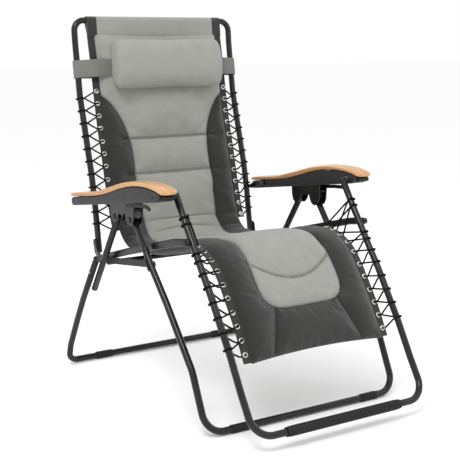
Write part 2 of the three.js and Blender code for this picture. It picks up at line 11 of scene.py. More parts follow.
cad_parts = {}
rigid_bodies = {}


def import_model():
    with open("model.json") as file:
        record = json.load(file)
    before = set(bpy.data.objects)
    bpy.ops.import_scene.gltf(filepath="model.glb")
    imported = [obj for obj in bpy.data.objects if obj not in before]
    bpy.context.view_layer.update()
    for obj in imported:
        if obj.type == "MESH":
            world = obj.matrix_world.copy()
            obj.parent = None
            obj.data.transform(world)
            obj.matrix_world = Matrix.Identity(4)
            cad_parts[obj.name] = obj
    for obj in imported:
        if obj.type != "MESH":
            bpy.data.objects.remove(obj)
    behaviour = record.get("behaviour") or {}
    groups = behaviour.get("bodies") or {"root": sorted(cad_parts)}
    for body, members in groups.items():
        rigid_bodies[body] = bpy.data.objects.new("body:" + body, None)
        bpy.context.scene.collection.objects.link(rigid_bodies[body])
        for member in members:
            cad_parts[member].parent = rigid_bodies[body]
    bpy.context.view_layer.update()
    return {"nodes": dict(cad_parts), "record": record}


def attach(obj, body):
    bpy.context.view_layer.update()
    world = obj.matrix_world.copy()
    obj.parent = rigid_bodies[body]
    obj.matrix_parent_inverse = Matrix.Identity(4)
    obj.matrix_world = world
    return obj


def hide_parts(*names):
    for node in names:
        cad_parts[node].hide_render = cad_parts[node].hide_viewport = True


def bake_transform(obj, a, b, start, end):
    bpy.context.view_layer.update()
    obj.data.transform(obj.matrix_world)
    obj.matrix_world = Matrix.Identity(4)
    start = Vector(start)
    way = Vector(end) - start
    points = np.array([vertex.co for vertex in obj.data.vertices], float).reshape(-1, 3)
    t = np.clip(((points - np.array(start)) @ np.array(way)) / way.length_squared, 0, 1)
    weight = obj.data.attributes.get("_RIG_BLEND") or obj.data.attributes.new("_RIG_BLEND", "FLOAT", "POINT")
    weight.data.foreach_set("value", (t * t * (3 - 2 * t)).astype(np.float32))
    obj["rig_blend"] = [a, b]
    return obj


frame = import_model()

MM = 0.001
MID_Y = 19.25  # side-view points use the same working frame as the part's source
SIDES = ((-1, "left"), (1, "right"))

# ---- camera ----
TARGET = (0.0, -0.01925, 0.4678)
EYE = (-1.7775, -2.6737, 1.0771)


def make_camera():
    data = bpy.data.cameras.new("camera")
    data.lens = 83.42
    data.sensor_width = 36
    data.shift_x = -0.0265
    data.shift_y = 0.017
    cam = bpy.data.objects.new("camera", data)
    bpy.context.scene.collection.objects.link(cam)
    cam.location = EYE
    cam.rotation_euler = (Vector(TARGET) - Vector(EYE)).to_track_quat("-Z", "Y").to_euler()
    bpy.context.scene.camera = cam


make_camera()

# ---- frame dimensions, as in the part's source ----
TUBE_R = 10
BACK_X = 293
LEG_REST_X = 297
RAIL_X0, RAIL_X1 = 308, 319
LINK_X0, LINK_X1 = 321, 325.5
FRONT_LEG_X = 336
STRUT_X = 338.4
REAR_LEG_X = 359
ARM_X = 345
FLOOR_Z = 12
PAD_HALF = 229
BAND_IN, BAND_OUT = 227, 253
EYELET_X = 242
BACK_HINGE = (352, 378)
LEG_REST_HINGE = (-196, 518)
LINK_PIVOT = (-26, 428)
FRONT_LEG_PIVOT = (61, 548)
REAR_LEG_PIVOT = (158, 545)
ARM_PIVOT = (409, 556)
OPEN_PIVOT = (-112, 640)

BACK_LINE = ((386, 392), (409, 541), (428, 636), (469, 777), (499, 886), (514, 991), (523, 1052), (529, 1122))
LEG_REST_LINE = (OPEN_PIVOT, (-167, 559), (-202, 512), (-244, 451), (-290, 389), (-383, 248), (-438, 153),
                 (-505, 47))
FRONT_LEG_LINE = (FRONT_LEG_PIVOT, (-32, 428), (-122, 332), (-256, 172), (-330, FLOOR_Z))
REAR_LEG_LINE = ((280, 385), (375, 249), (424, 170), (482, 70), (500, FLOOR_Z))
REAR_STRUT_LINE = (REAR_LEG_PIVOT, (334, 287))
RAIL_LINE = (BACK_HINGE, (302, 392), (166, 431), (-133, 509), LEG_REST_HINGE)

# Mid-line of the padded cover, from the top bar down the back, over the seat and down the leg rest.
COVER_LINE = ((519, 1078), (511, 1040), (500, 990), (484, 899), (476, 859), (459, 779), (437, 700),
              (417, 619), (398, 546), (384, 500), (366, 458), (338, 430), (300, 416), (200, 418), (100, 435),
              (0, 458),
              (-80, 476), (-128, 483), (-170, 480), (-208, 460), (-239, 434), (-288, 371), (-336, 303),
              (-375, 232), (-388, 208))
BACK_EYELETS = ((484, 899), (476, 859), (468, 820), (459, 779), (448, 739), (437, 700), (427, 661),
                (417, 619), (408, 579), (399, 539), (391, 503), (384, 465))
LEG_EYELETS = ((-104, 492), (-136, 489), (-170, 480), (-208, 461), (-239, 436), (-266, 404), (-290, 370),
               (-313, 337), (-336, 303), (-356, 268), (-375, 232))
LEG_WRAPS = ((-154, 578), (-166, 561), (-219, 487), (-232, 468), (-254, 437), (-278, 405), (-304, 368),
             (-328, 331), (-352, 295), (-377, 257))


# ---- mesh helpers ----
def metres(points):
    """Working-frame millimetres to scene metres."""
    p = np.array(points, float).reshape(-1, 3)
    return (p - (0, MID_Y, 0)) * MM


def place(x, point):
    """A scene point in metres from x and a side-view point."""
    return (x * MM, (point[0] - MID_Y) * MM, point[1] * MM)


def piece(name, points, faces, material, slot, smooth=True):
    """A mesh object from millimetre points."""
    mesh = bpy.data.meshes.new(name)
    mesh.from_pydata([tuple(p) for p in metres(points)], [], [tuple(f) for f in faces])
    mesh.update()
    obj = bpy.data.objects.new(name, mesh)
    bpy.context.scene.collection.objects.link(obj)
    if material:
        mesh.materials.append(material)
    if smooth:
        mesh.polygons.foreach_set("use_smooth", [True] * len(mesh.polygons))
    return obj


@contextmanager
def editing(mesh):
    """A bmesh of the mesh, written back at the end."""
    bm = bmesh.new()
    bm.from_mesh(mesh)
    yield bm
    bm.to_mesh(mesh)
    bm.free()


def fix_normals(obj):
    with editing(obj.data) as bm:
        bmesh.ops.recalc_face_normals(bm, faces=bm.faces)
    return obj


def sharp_by_angle(obj, degrees):
    limit = math.radians(degrees)
    with editing(obj.data) as bm:
        for edge in bm.edges:
            edge.smooth = len(edge.link_faces) == 2 and edge.calc_face_angle(0) < limit
    return obj


def bevelled(obj, width, segments):
    """Rounds the hard edges of a mesh, width in millimetres."""
    hard = math.radians(30)
    with editing(obj.data) as bm:
        bmesh.ops.recalc_face_normals(bm, faces=bm.faces)
        edges = [e for e in bm.edges if len(e.link_faces) == 2 and e.calc_face_angle(0) > hard]
        bmesh.ops.bevel(bm, geom=edges, offset=width * MM, segments=segments, affect="EDGES", profile=0.5,
                        clamp_overlap=True)
        for f in bm.faces:
            f.smooth = True
    return sharp_by_angle(obj, 35)


def apply_modifiers(obj):
    bpy.context.view_layer.update()
    done = bpy.data.meshes.new_from_object(obj.evaluated_get(bpy.context.evaluated_depsgraph_get()))
    obj.modifiers.clear()
    old = obj.data
    obj.data = done
    bpy.data.meshes.remove(old)
    return obj


def catmull(points, per=10):
    """A smooth line through the points."""
    p = np.array(points, float)
    p = np.vstack((2 * p[0] - p[1], p, 2 * p[-1] - p[-2]))
    out = []
    for i in range(1, len(p) - 2):
        a, b, c, d = p[i - 1], p[i], p[i + 1], p[i + 2]
        for k in range(per):
            t = k / per
            out.append(0.5 * (2 * b + (c - a) * t + (2 * a - 5 * b + 4 * c - d) * t * t
                              + (3 * b - a - 3 * c + d) * t ** 3))
    out.append(p[-2])
    return np.array(out)


def lengths(line):
    return np.concatenate(([0], np.cumsum(np.linalg.norm(np.diff(line, axis=0), axis=1))))


def resample(line, step):
    s = lengths(line)
    count = max(2, int(round(s[-1] / step)) + 1)
    t = np.linspace(0, s[-1], count)
    return np.stack([np.interp(t, s, line[:, k]) for k in range(line.shape[1])], axis=1)


def rounded(points, radii=None, default=60, step=math.radians(7)):
    """Turns the corners of a polyline into arcs. radii maps a corner's index to its radius."""
    radii = radii or {}
    pts = [Vector(p) for p in points]
    out = [pts[0]]
    for i in range(1, len(pts) - 1):
        p = pts[i]
        before, after = pts[i - 1] - p, pts[i + 1] - p
        half = before.angle(after) / 2
        turn = math.pi - 2 * half
        if turn < 0.02:
            continue
        cut = min(radii.get(i, default) / math.tan(half), before.length * 0.48, after.length * 0.48)
        radius = cut * math.tan(half)
        a, b = p + before.normalized() * cut, p + after.normalized() * cut
        inward = ((a + b) / 2 - p).normalized()
        centre = p + inward * (radius / math.sin(half))
        axis = (a - centre).cross(b - centre).normalized()
        count = max(2, round(turn / step))
        for k in range(count + 1):
            out.append(centre + Matrix.Rotation(turn * k / count, 3, axis) @ (a - centre))
    out.append(pts[-1])
    return np.array([tuple(p) for p in out])


def frames_along(path):
    """Two steady side directions at each station of a path."""
    n = len(path)
    tangents = []
    for i in range(n):
        a, b = path[max(i - 1, 0)], path[min(i + 1, n - 1)]
        tangents.append(Vector(b - a).normalized())
    first = tangents[0].orthogonal().normalized()
    if abs(tangents[0].x) < 0.9:
        first = (Vector((1, 0, 0)) - tangents[0] * tangents[0].x).normalized()
    sides = [first]
    for i in range(1, n):
        turn = tangents[i - 1].rotation_difference(tangents[i])
        side = turn @ sides[-1]
        side = (side - tangents[i] * side.dot(tangents[i])).normalized()
        sides.append(side)
    return [(np.array(s), np.array(t.cross(s))) for s, t in zip(sides, tangents)]


def loft_faces(rings, per, closed=False):
    """Quads between rings of points, with both end rings filled unless the rings close on themselves."""
    faces = []
    for i in range(rings if closed else rings - 1):
        a, b = i * per, ((i + 1) % rings) * per
        for k in range(per):
            j = (k + 1) % per
            faces.append((a + k, a + j, b + j, b + k))
    if not closed:
        faces.append(tuple(range(per - 1, -1, -1)))
        faces.append(tuple(range((rings - 1) * per, rings * per)))
    return faces


def sweep(path, profile, round_end):
    """Points and faces of a (side, up) profile carried along a path, its ends rounded over round_end."""
    frames = frames_along(path)
    t0 = np.array(Vector(path[0] - path[1]).normalized())
    t1 = np.array(Vector(path[-1] - path[-2]).normalized())
    first = [(path[0] + t0 * round_end * math.sin(a), math.cos(a)) for a in (1.35, 1.0, 0.5)]
    last = [(path[-1] + t1 * round_end * math.sin(a), math.cos(a)) for a in (0.5, 1.0, 1.35)]
    stations = first + [(p, 1.0) for p in path] + last
    frames = [frames[0]] * 3 + frames + [frames[-1]] * 3
    points = []
    for (centre, scale), (side, up) in zip(stations, frames):
        for u, v in profile:
            points.append(centre + side * (u * scale) + up * (v * scale))
    return points, loft_faces(len(stations), len(profile))


def circle(radius, sides):
    return [(radius * math.cos(2 * math.pi * k / sides), radius * math.sin(2 * math.pi * k / sides))
            for k in range(sides)]


def side_line(line, x):
    return [(x, y, z) for y, z in line]


def u_path(line, x, corner):
    points = side_line(line, -x) + side_line(line, x)[::-1]
    n = len(line)
    return rounded(points, {n - 1: corner, n: corner})


def tube(name, path, material, slot, body, stands_for=(), radius=TUBE_R, sides=24, round_end=3):
    points, faces = sweep(path, circle(radius, sides), round_end)
    obj = fix_normals(piece(name, points, faces, material, slot))
    sharp_by_angle(obj, 50)
    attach(obj, body)
    if stands_for:
        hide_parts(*stands_for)
    return obj


def lathe_x(profile, x, centre, sides=32):
    """Points and faces of a closed (radius, along) profile turned about X at a side-view centre."""
    points = []
    for k in range(sides):
        a = 2 * math.pi * k / sides
        for r, h in profile:
            points.append((x + h, centre[0] + r * math.cos(a), centre[1] + r * math.sin(a)))
    return points, loft_faces(sides, len(profile), closed=True)


def merged(parts):
    """Joins (points, faces) pairs into one."""
    points, faces = [], []
    for p, f in parts:
        base = len(points)
        points.extend(tuple(q) for q in p)
        faces.extend(tuple(i + base for i in face) for face in f)
    return points, faces


def slab(outline, x0, x1):
    """A side-view outline between x0 and x1."""
    n = len(outline)
    points = [(x0, y, z) for y, z in outline] + [(x1, y, z) for y, z in outline]
    faces = [tuple(range(n)), tuple(range(2 * n - 1, n - 1, -1))]
    for i in range(n):
        j = (i + 1) % n
        faces.append((i, i + n, j + n, j))
    return points, faces


def line_normals(line):
    """Unit normals that point to the sitter's side as the line runs from the back's top to the leg rest."""
    d = np.gradient(np.array(line, float), axis=0)
    d /= np.linalg.norm(d, axis=1)[:, None]
    return np.stack((d[:, 1], -d[:, 0]), axis=1)


def ribbon(line, half, caps=7):
    """Outline of a band of constant half height along a side-view line, with round ends."""
    line = np.array(line, float)
    n = line_normals(line)
    upper, lower = line + n * half, (line - n * half)[::-1]

    def cap(centre, start):
        first = math.atan2(start[1] - centre[1], start[0] - centre[0])
        angles = [first + math.pi * k / (caps + 1) for k in range(1, caps + 1)]
        return [(centre[0] + half * math.cos(a), centre[1] + half * math.sin(a)) for a in angles]

    far, near = cap(line[-1], upper[-1]), cap(line[0], lower[-1])
    return [tuple(p) for p in upper] + far + [tuple(p) for p in lower] + near


# ---- materials ----
class Nodes:
    """Short hands for building a node tree."""

    def __init__(self, name, roughness=0.5, metallic=0.0):
        self.material = bpy.data.materials.new(name)
        self.material.use_nodes = True
        self.tree = self.material.node_tree
        self.shader = self.tree.nodes["Principled BSDF"]
        self.shader.inputs["Roughness"].default_value = roughness
        self.shader.inputs["Metallic"].default_value = metallic

    def add(self, kind, **values):
        node = self.tree.nodes.new(kind)
        for key, value in values.items():
            if hasattr(node, key):
                setattr(node, key, value)
            else:
                node.inputs[key.replace("_", " ")].default_value = value
        return node

    def link(self, source, target):
        self.tree.links.new(source, target)

    def attribute(self, name):
        return self.add("ShaderNodeAttribute", attribute_name=name)

    def rest(self):
        """The point's place in the rest pose, so a pattern never slides when the part moves."""
        return self.attribute("rest").outputs["Vector"]

    def noise(self, vector, scale, detail=3.0, rough=0.5):
        node = self.add("ShaderNodeTexNoise", Scale=scale, Detail=detail, Roughness=rough)
        self.link(vector, node.inputs["Vector"])
        return node.outputs["Fac"]

    def math(self, operation, a, b=None):
        node = self.add("ShaderNodeMath", operation=operation)
        for i, value in enumerate((a, b)):
            if value is None:
                continue
            if isinstance(value, (int, float)):
                node.inputs[i].default_value = value
            else:
                self.link(value, node.inputs[i])
        return node.outputs[0]

    def spread(self, value, low, high, out_low, out_high):
        node = self.add("ShaderNodeMapRange")
        self.link(value, node.inputs["Value"])
        for key, v in zip(("From Min", "From Max", "To Min", "To Max"), (low, high, out_low, out_high)):
            node.inputs[key].default_value = v
        return node.outputs["Result"]

    def mix(self, fac, a, b):
        node = self.add("ShaderNodeMix", data_type="RGBA")
        self.link(fac, node.inputs["Factor"])
        for socket, value in ((node.inputs[6], a), (node.inputs[7], b)):
            if isinstance(value, tuple):
                socket.default_value = (*value, 1)
            else:
                self.link(value, socket)
        return node.outputs[2]

    def bump(self, height, distance, strength=1.0):
        node = self.add("ShaderNodeBump", Distance=distance, Strength=strength)
        self.link(height, node.inputs["Height"])
        self.link(node.outputs["Normal"], self.shader.inputs["Normal"])

    def colour(self, value):
        if isinstance(value, tuple):
            self.shader.inputs["Base Color"].default_value = (*value, 1)
        else:
            self.link(value, self.shader.inputs["Base Color"])


def linear(r, g, b):
    """sRGB 0-255 to linear."""
    def one(c):
        c /= 255
        return c / 12.92 if c <= 0.04045 else ((c + 0.055) / 1.055) ** 2.4
    return (one(r), one(g), one(b))


def painted(name, colour, gloss):
    """Powder coat: slight orange peel, small gloss changes and faint dust."""
    n = Nodes(name, roughness=gloss, metallic=0.0)
    n.shader.inputs["Specular IOR Level"].default_value = 0.42
    where = n.rest()
    broad = n.noise(where, 14.0)
    fine = n.noise(where, 900.0, 2.0)
    light = tuple(min(1, c * 1.6 + 0.004) for c in colour)
    n.colour(n.mix(n.spread(broad, 0.35, 0.75, 0.0, 1.0), colour, light))
    n.link(n.spread(broad, 0.3, 0.7, gloss - 0.05, gloss + 0.07), n.shader.inputs["Roughness"])
    n.bump(fine, 0.00005, 0.35)
    return n.material


def moulded(name, colour, roughness, grain=700.0):
    """Moulded plastic or rubber with a fine texture."""
    n = Nodes(name, roughness=roughness)
    n.shader.inputs["Specular IOR Level"].default_value = 0.35
    where = n.rest()
    broad = n.noise(where, 20.0)
    fine = n.noise(where, grain, 3.0, 0.6)
    light = tuple(min(1, c * 1.35 + 0.003) for c in colour)
    n.colour(n.mix(broad, colour, light))
    n.link(n.spread(fine, 0.3, 0.7, roughness - 0.08, roughness + 0.08), n.shader.inputs["Roughness"])
    n.bump(fine, 0.00012, 0.5)
    return n.material


def plated(name, colour, roughness):
    """Bright zinc: turned marks and slightly dull patches."""
    n = Nodes(name, roughness=roughness, metallic=1.0)
    where = n.rest()
    broad = n.noise(where, 120.0)
    n.colour(n.mix(broad, colour, tuple(c * 0.72 for c in colour)))
    n.link(n.spread(broad, 0.3, 0.7, roughness - 0.06, roughness + 0.14), n.shader.inputs["Roughness"])
    n.bump(n.noise(where, 1500.0), 0.00003, 0.4)
    return n.material


def weave_height(n, where, pitch):
    """Over-and-under threads of the given pitch in metres."""
    split = n.add("ShaderNodeSeparateXYZ")
    n.link(where, split.inputs[0])
    k = 2 * math.pi / pitch
    warp = n.math("SINE", n.math("MULTIPLY", split.outputs[0], k))
    weft = n.math("SINE", n.math("MULTIPLY", split.outputs[1], k))
    return n.math("MULTIPLY", warp, weft)


def cloth(name, light, dark=None):
    """Woven polyester, light where the attribute 'panel' is above 0, else dark, and darkened along the seams:
    the dark thread line and painted shade in the seam grooves.
    """
    n = Nodes(name, roughness=0.92)
    n.shader.inputs["Specular IOR Level"].default_value = 0.18
    n.shader.inputs["Sheen Weight"].default_value = 0.25
    n.shader.inputs["Sheen Roughness"].default_value = 0.55
    where = n.attribute("weave").outputs["Vector"]
    threads = weave_height(n, where, 0.0016)
    mottle = n.noise(where, 26.0, 4.0)
    slub = n.noise(where, 420.0, 3.0, 0.65)
    tone = n.math("ADD", n.spread(mottle, 0.3, 0.7, -0.05, 0.05), n.spread(slub, 0.3, 0.7, -0.09, 0.09))
    tone = n.math("ADD", tone, n.spread(threads, -1.0, 1.0, -0.05, 0.05))
    tone = n.math("ADD", tone, 1.0)
    gain = n.add("ShaderNodeHueSaturation")
    if dark:
        edge = n.spread(n.attribute("panel").outputs["Fac"], -0.0004, 0.0004, 0.0, 1.0)
        n.link(n.mix(edge, dark, light), gain.inputs["Color"])
        # Darkest on each seam line and fading out over 7 mm: the sewn thread there, and painted shade in the
        # groove beside it.
        seam_thread_and_shade = n.spread(n.attribute("seam").outputs["Fac"], 0.0, 0.007, 0.62, 0.0)
        tone = n.math("SUBTRACT", tone, seam_thread_and_shade)
    else:
        gain.inputs["Color"].default_value = (*light, 1)
    n.link(tone, gain.inputs["Value"])
    n.colour(gain.outputs["Color"])
    n.bump(n.math("ADD", threads, n.math("MULTIPLY", slub, 0.8)), 0.00025, 0.6)
    return n.material


def webbing(name, colour, pitch=0.0022):
    """Ribbed elastic webbing, ribs along its length."""
    n = Nodes(name, roughness=0.88)
    n.shader.inputs["Specular IOR Level"].default_value = 0.2
    where = n.attribute("weave").outputs["Vector"]
    split = n.add("ShaderNodeSeparateXYZ")
    n.link(where, split.inputs[0])
    ribs = n.math("SINE", n.math("MULTIPLY", split.outputs[1], 2 * math.pi / pitch))
    cross = n.math("SINE", n.math("MULTIPLY", split.outputs[0], 2 * math.pi / (pitch * 0.6)))
    slub = n.noise(where, 300.0)
    fac = n.math("ADD", n.spread(ribs, -1.0, 1.0, 0.2, 0.6), n.spread(slub, 0.3, 0.7, -0.15, 0.15))
    n.colour(n.mix(fac, tuple(c * 0.82 for c in colour), tuple(min(1, c * 1.15) for c in colour)))
    n.bump(n.math("ADD", ribs, n.math("MULTIPLY", cross, 0.4)), 0.0003, 0.6)
    return n.material


def timber(name):
    """Honey-coloured beech: long grain, rings and a redder rear end, under a satin lacquer."""
    n = Nodes(name, roughness=0.36)
    n.shader.inputs["Coat Weight"].default_value = 0.25
    n.shader.inputs["Coat Roughness"].default_value = 0.25
    where = n.attribute("weave").outputs["Vector"]
    stretch = n.add("ShaderNodeMapping")
    stretch.inputs["Scale"].default_value = (1.0, 9.0, 9.0)
    n.link(where, stretch.inputs["Vector"])
    wave = n.add("ShaderNodeTexWave", wave_type="BANDS", bands_direction="Y", Scale=1.6, Distortion=5.0,
                 Detail=3.0)
    wave.inputs["Detail Scale"].default_value = 2.2
    n.link(stretch.outputs[0], wave.inputs["Vector"])
    fibre = n.add("ShaderNodeMapping")
    fibre.inputs["Scale"].default_value = (14.0, 700.0, 700.0)
    n.link(where, fibre.inputs["Vector"])
    streak = n.noise(fibre.outputs[0], 1.0, 4.0, 0.6)
    split = n.add("ShaderNodeSeparateXYZ")
    n.link(where, split.inputs[0])
    along = n.spread(split.outputs[0], 0.0, 0.62, 0.0, 1.0)
    honey = n.mix(along, linear(188, 134, 84), linear(205, 160, 108))
    dark = n.mix(along, linear(156, 102, 58), linear(176, 126, 78))
    rings = n.spread(wave.outputs["Fac"], 0.0, 1.0, 0.0, 0.45)
    fac = n.math("ADD", rings, n.spread(streak, 0.35, 0.7, 0.0, 0.5))
    n.colour(n.mix(fac, honey, dark))
    n.link(n.spread(streak, 0.3, 0.7, 0.3, 0.46), n.shader.inputs["Roughness"])
    n.bump(streak, 0.0001, 0.4)
    return n.material


GREY = linear(144, 146, 139)
CHARCOAL = linear(44, 44, 43)
M_FRAME = painted("satin_black_paint", linear(8, 8, 9), 0.26)
M_CASING = moulded("casing_plastic", linear(36, 36, 36), 0.5)
M_BLACK = moulded("black_plastic", linear(14, 14, 14), 0.5)
M_RUBBER = moulded("black_rubber", linear(18, 18, 18), 0.75, 400.0)
M_STEEL = plated("zinc_plate", (0.62, 0.62, 0.63), 0.3)
M_EYELET = plated("eyelet_nickel", (0.78, 0.77, 0.73), 0.28)
M_WOOD = timber("arm_wood")
M_COVER = cloth("cover_cloth", GREY, CHARCOAL)
M_PILLOW = cloth("pillow_cloth", GREY)
M_TRIM = cloth("trim_cloth", CHARCOAL)
M_STRAP = webbing("strap_webbing", linear(118, 119, 114))
M_CORD = webbing("elastic_cord", linear(12, 12, 12), 0.0016)


def remember_rest(obj):
    """Stores each vertex's rest place as 'rest', and as 'weave' where the mesh has no weave of its own."""
    mesh = obj.data
    co = np.zeros(len(mesh.vertices) * 3, np.float32)
    mesh.vertices.foreach_get("co", co)
    for name in ("rest", "weave"):
        if not mesh.attributes.get(name):
            vector_layer(mesh, name, co)
    return obj


def scalar_layer(mesh, name, values):
    layer = mesh.attributes.new(name, "FLOAT", "POINT")
    layer.data.foreach_set("value", np.asarray(values, np.float32))


def vector_layer(mesh, name, values):
    layer = mesh.attributes.new(name, "FLOAT_VECTOR", "POINT")
    layer.data.foreach_set("vector", np.asarray(values, np.float32).ravel())


# ---- the padded cover ----
COVER_STEP = 6.5  # grid pitch of the cover before its final subdivision
EDGE_THICK = 2.5  # half thickness at a sewn edge
FRONT_PUFF = 15.0
REAR_PUFF = 8.0


def resampled_cover():
    """Mid-line stations of the cover and the arc length of its front surface at each."""
    line = resample(catmull(COVER_LINE, 14), COVER_STEP)
    n = line_normals(line)
    s = lengths(line + n * 12)
    return line, n, s


LINE, LINE_N, LINE_S = resampled_cover()
FRONT = LINE + LINE_N * 14
SEAT_REAR = int(np.argmin(np.abs(LINE[:, 0] - 300)))  # first station of the seat


def s_at(height):
    """Arc length where the front surface of the back has this height."""
    z = FRONT[:SEAT_REAR, 1]
    return float(np.interp(-height, -z, LINE_S[:SEAT_REAR]))


S_LEG = float(np.interp(112, -LINE[:, 0], LINE_S))  # arc length at the crest of the seat front
S_END = float(LINE_S[-1])

# Half width of the light panel: on the back against height, on the leg rest against distance past the crest.
LEAF = ((900, 232), (884, 228), (863, 203), (830, 180), (796, 163), (770, 154), (745, 148), (719, 145),
        (664, 143), (627, 145), (591, 147), (533, 142), (481, 138), (448, 140))
FLAME = ((-20, 135), (50, 136), (100, 138), (150, 140), (190, 141), (234, 140), (256, 135), (272, 125),
        (283, 110), (289, 92), (292, 70))
SMILE_HALF, SMILE_DROP, SMILE_TOP = 139, 60, 146
TAIL_FROM, TAIL_TO, TAIL_START, TAIL_END = 108, 152, 287, 415
CHANNELS = (745, 632)  # sewn channels across the light back panel
CHANNEL_TAIL = 26  # how far a channel runs on over the dark side panel
CREASES = (477, 443)  # folds where the back turns into the seat
SEAT_CHANNELS = (235, 110, 0)  # sewn channels across the seat, by side-view y
SEAT_CHANNEL_HALF = 138.0


def panel_half(s):
    """Half width of the light panel at arc length s."""
    back_s = np.array([s_at(h) for h, _ in LEAF])
    back_w = np.array([w for _, w in LEAF])
    leg_s = np.array([d + S_LEG for d, _ in FLAME])
    leg_w = np.array([w for _, w in FLAME], float)
    all_s = np.concatenate((back_s, leg_s))
    all_w = np.concatenate((back_w, leg_w))
    return np.where(s > leg_s[-1], -60.0, np.interp(s, all_s, all_w))


def polyline_distance(points, line):
    """Distance of each 2-D point from a polyline."""
    best = np.full(len(points), 1e9)
    for a, b in zip(line[:-1], line[1:]):
        d = b - a
        t = np.clip(((points - a) @ d) / max(d @ d, 1e-9), 0, 1)
        best = np.minimum(best, np.linalg.norm(points - (a + t[:, None] * d), axis=1))
    return best


def cover_seams():
    """Seam polylines in (x, s)."""
    s_leaf = np.linspace(s_at(898), S_LEG - 20, 140)
    seams = []
    for side in (-1, 1):
        seams.append(np.stack((side * panel_half(s_leaf), s_leaf), axis=1))
    flame_s = np.array([d + S_LEG for d, _ in FLAME])
    flame_w = np.array([w for _, w in FLAME], float)
    right = np.stack((flame_w, flame_s), axis=1)
    left = right[::-1] * (-1, 1)
    seams.append(catmull(np.vstack((right, left)), 4))
    for h in CHANNELS:
        half = float(panel_half(np.array([s_at(h)]))[0])
        seams.append(np.array([(-half - CHANNEL_TAIL, s_at(h)), (half + CHANNEL_TAIL, s_at(h))]))
    for y in SEAT_CHANNELS:
        s = float(np.interp(-y, -LINE[:, 0], LINE_S))
        seams.append(np.array([(-SEAT_CHANNEL_HALF, s), (SEAT_CHANNEL_HALF, s)]))
    x = np.linspace(-SMILE_HALF, SMILE_HALF, 40)
    seams.append(np.stack((x, S_LEG + SMILE_TOP + SMILE_DROP * (1 - (x / SMILE_HALF) ** 2)), axis=1))
    for side in (-1, 1):
        tail = ((side * TAIL_FROM, S_LEG + TAIL_START), (side * TAIL_TO, S_LEG + TAIL_END))
        seams.append(np.array(tail, float))
    return seams


def signed_panel(x, s):
    """Metres inside (+) or outside (-) the light panel, for the cloth's colour."""
    points = np.stack((x, s), axis=1)
    distance = np.full(len(x), 1e9)
    for seam in cover_seams()[:3]:
        distance = np.minimum(distance, polyline_distance(points, seam))
    inside = np.abs(x) < panel_half(s)
    above = s < s_at(898)
    return np.where(inside | above, distance, -distance) * MM


def puff(distance, reach):
    t = np.clip(distance / reach, 0, 1)
    return np.sqrt(1 - (1 - t) ** 2)


def inflate(obj, pinned, pressure, frames, cap, swell=0.0):
    """Blows a closed mesh up with Cloth, pinned vertices held, each point moving at most cap metres."""
    start = np.zeros(len(obj.data.vertices) * 3)
    obj.data.vertices.foreach_get("co", start)
    start = start.reshape(-1, 3)
    group = obj.vertex_groups.new(name="pin")
    group.add([int(i) for i in np.nonzero(pinned)[0]], 1.0, "REPLACE")
    mod = obj.modifiers.new("cloth", "CLOTH")
    c = mod.settings
    c.quality = 4
    c.mass = 0.25
    c.tension_stiffness = c.compression_stiffness = 12
    c.shear_stiffness = 6
    c.bending_stiffness = 0.4
    c.shrink_min = -swell
    c.use_pressure = True
    c.uniform_pressure_force = pressure
    c.vertex_group_mass = "pin"
    c.effector_weights.gravity = 0
    mod.collision_settings.use_collision = False
    mod.point_cache.frame_start, mod.point_cache.frame_end = 1, frames
    scene = bpy.context.scene
    for f in range(1, frames + 1):
        scene.frame_set(f)
    apply_modifiers(obj)
    scene.frame_set(1)
    obj.vertex_groups.clear()
    end = np.zeros(len(obj.data.vertices) * 3)
    obj.data.vertices.foreach_get("co", end)
    move = end.reshape(-1, 3) - start
    size = np.linalg.norm(move, axis=1)
    move *= np.minimum(1, cap / np.maximum(size, 1e-9))[:, None]
    obj.data.vertices.foreach_set("co", (start + move).ravel())
    obj.data.update()
    return obj


def subdivided(obj, levels=1):
    mod = obj.modifiers.new("subdivision", "SUBSURF")
    mod.levels = mod.render_levels = levels
    return apply_modifiers(obj)


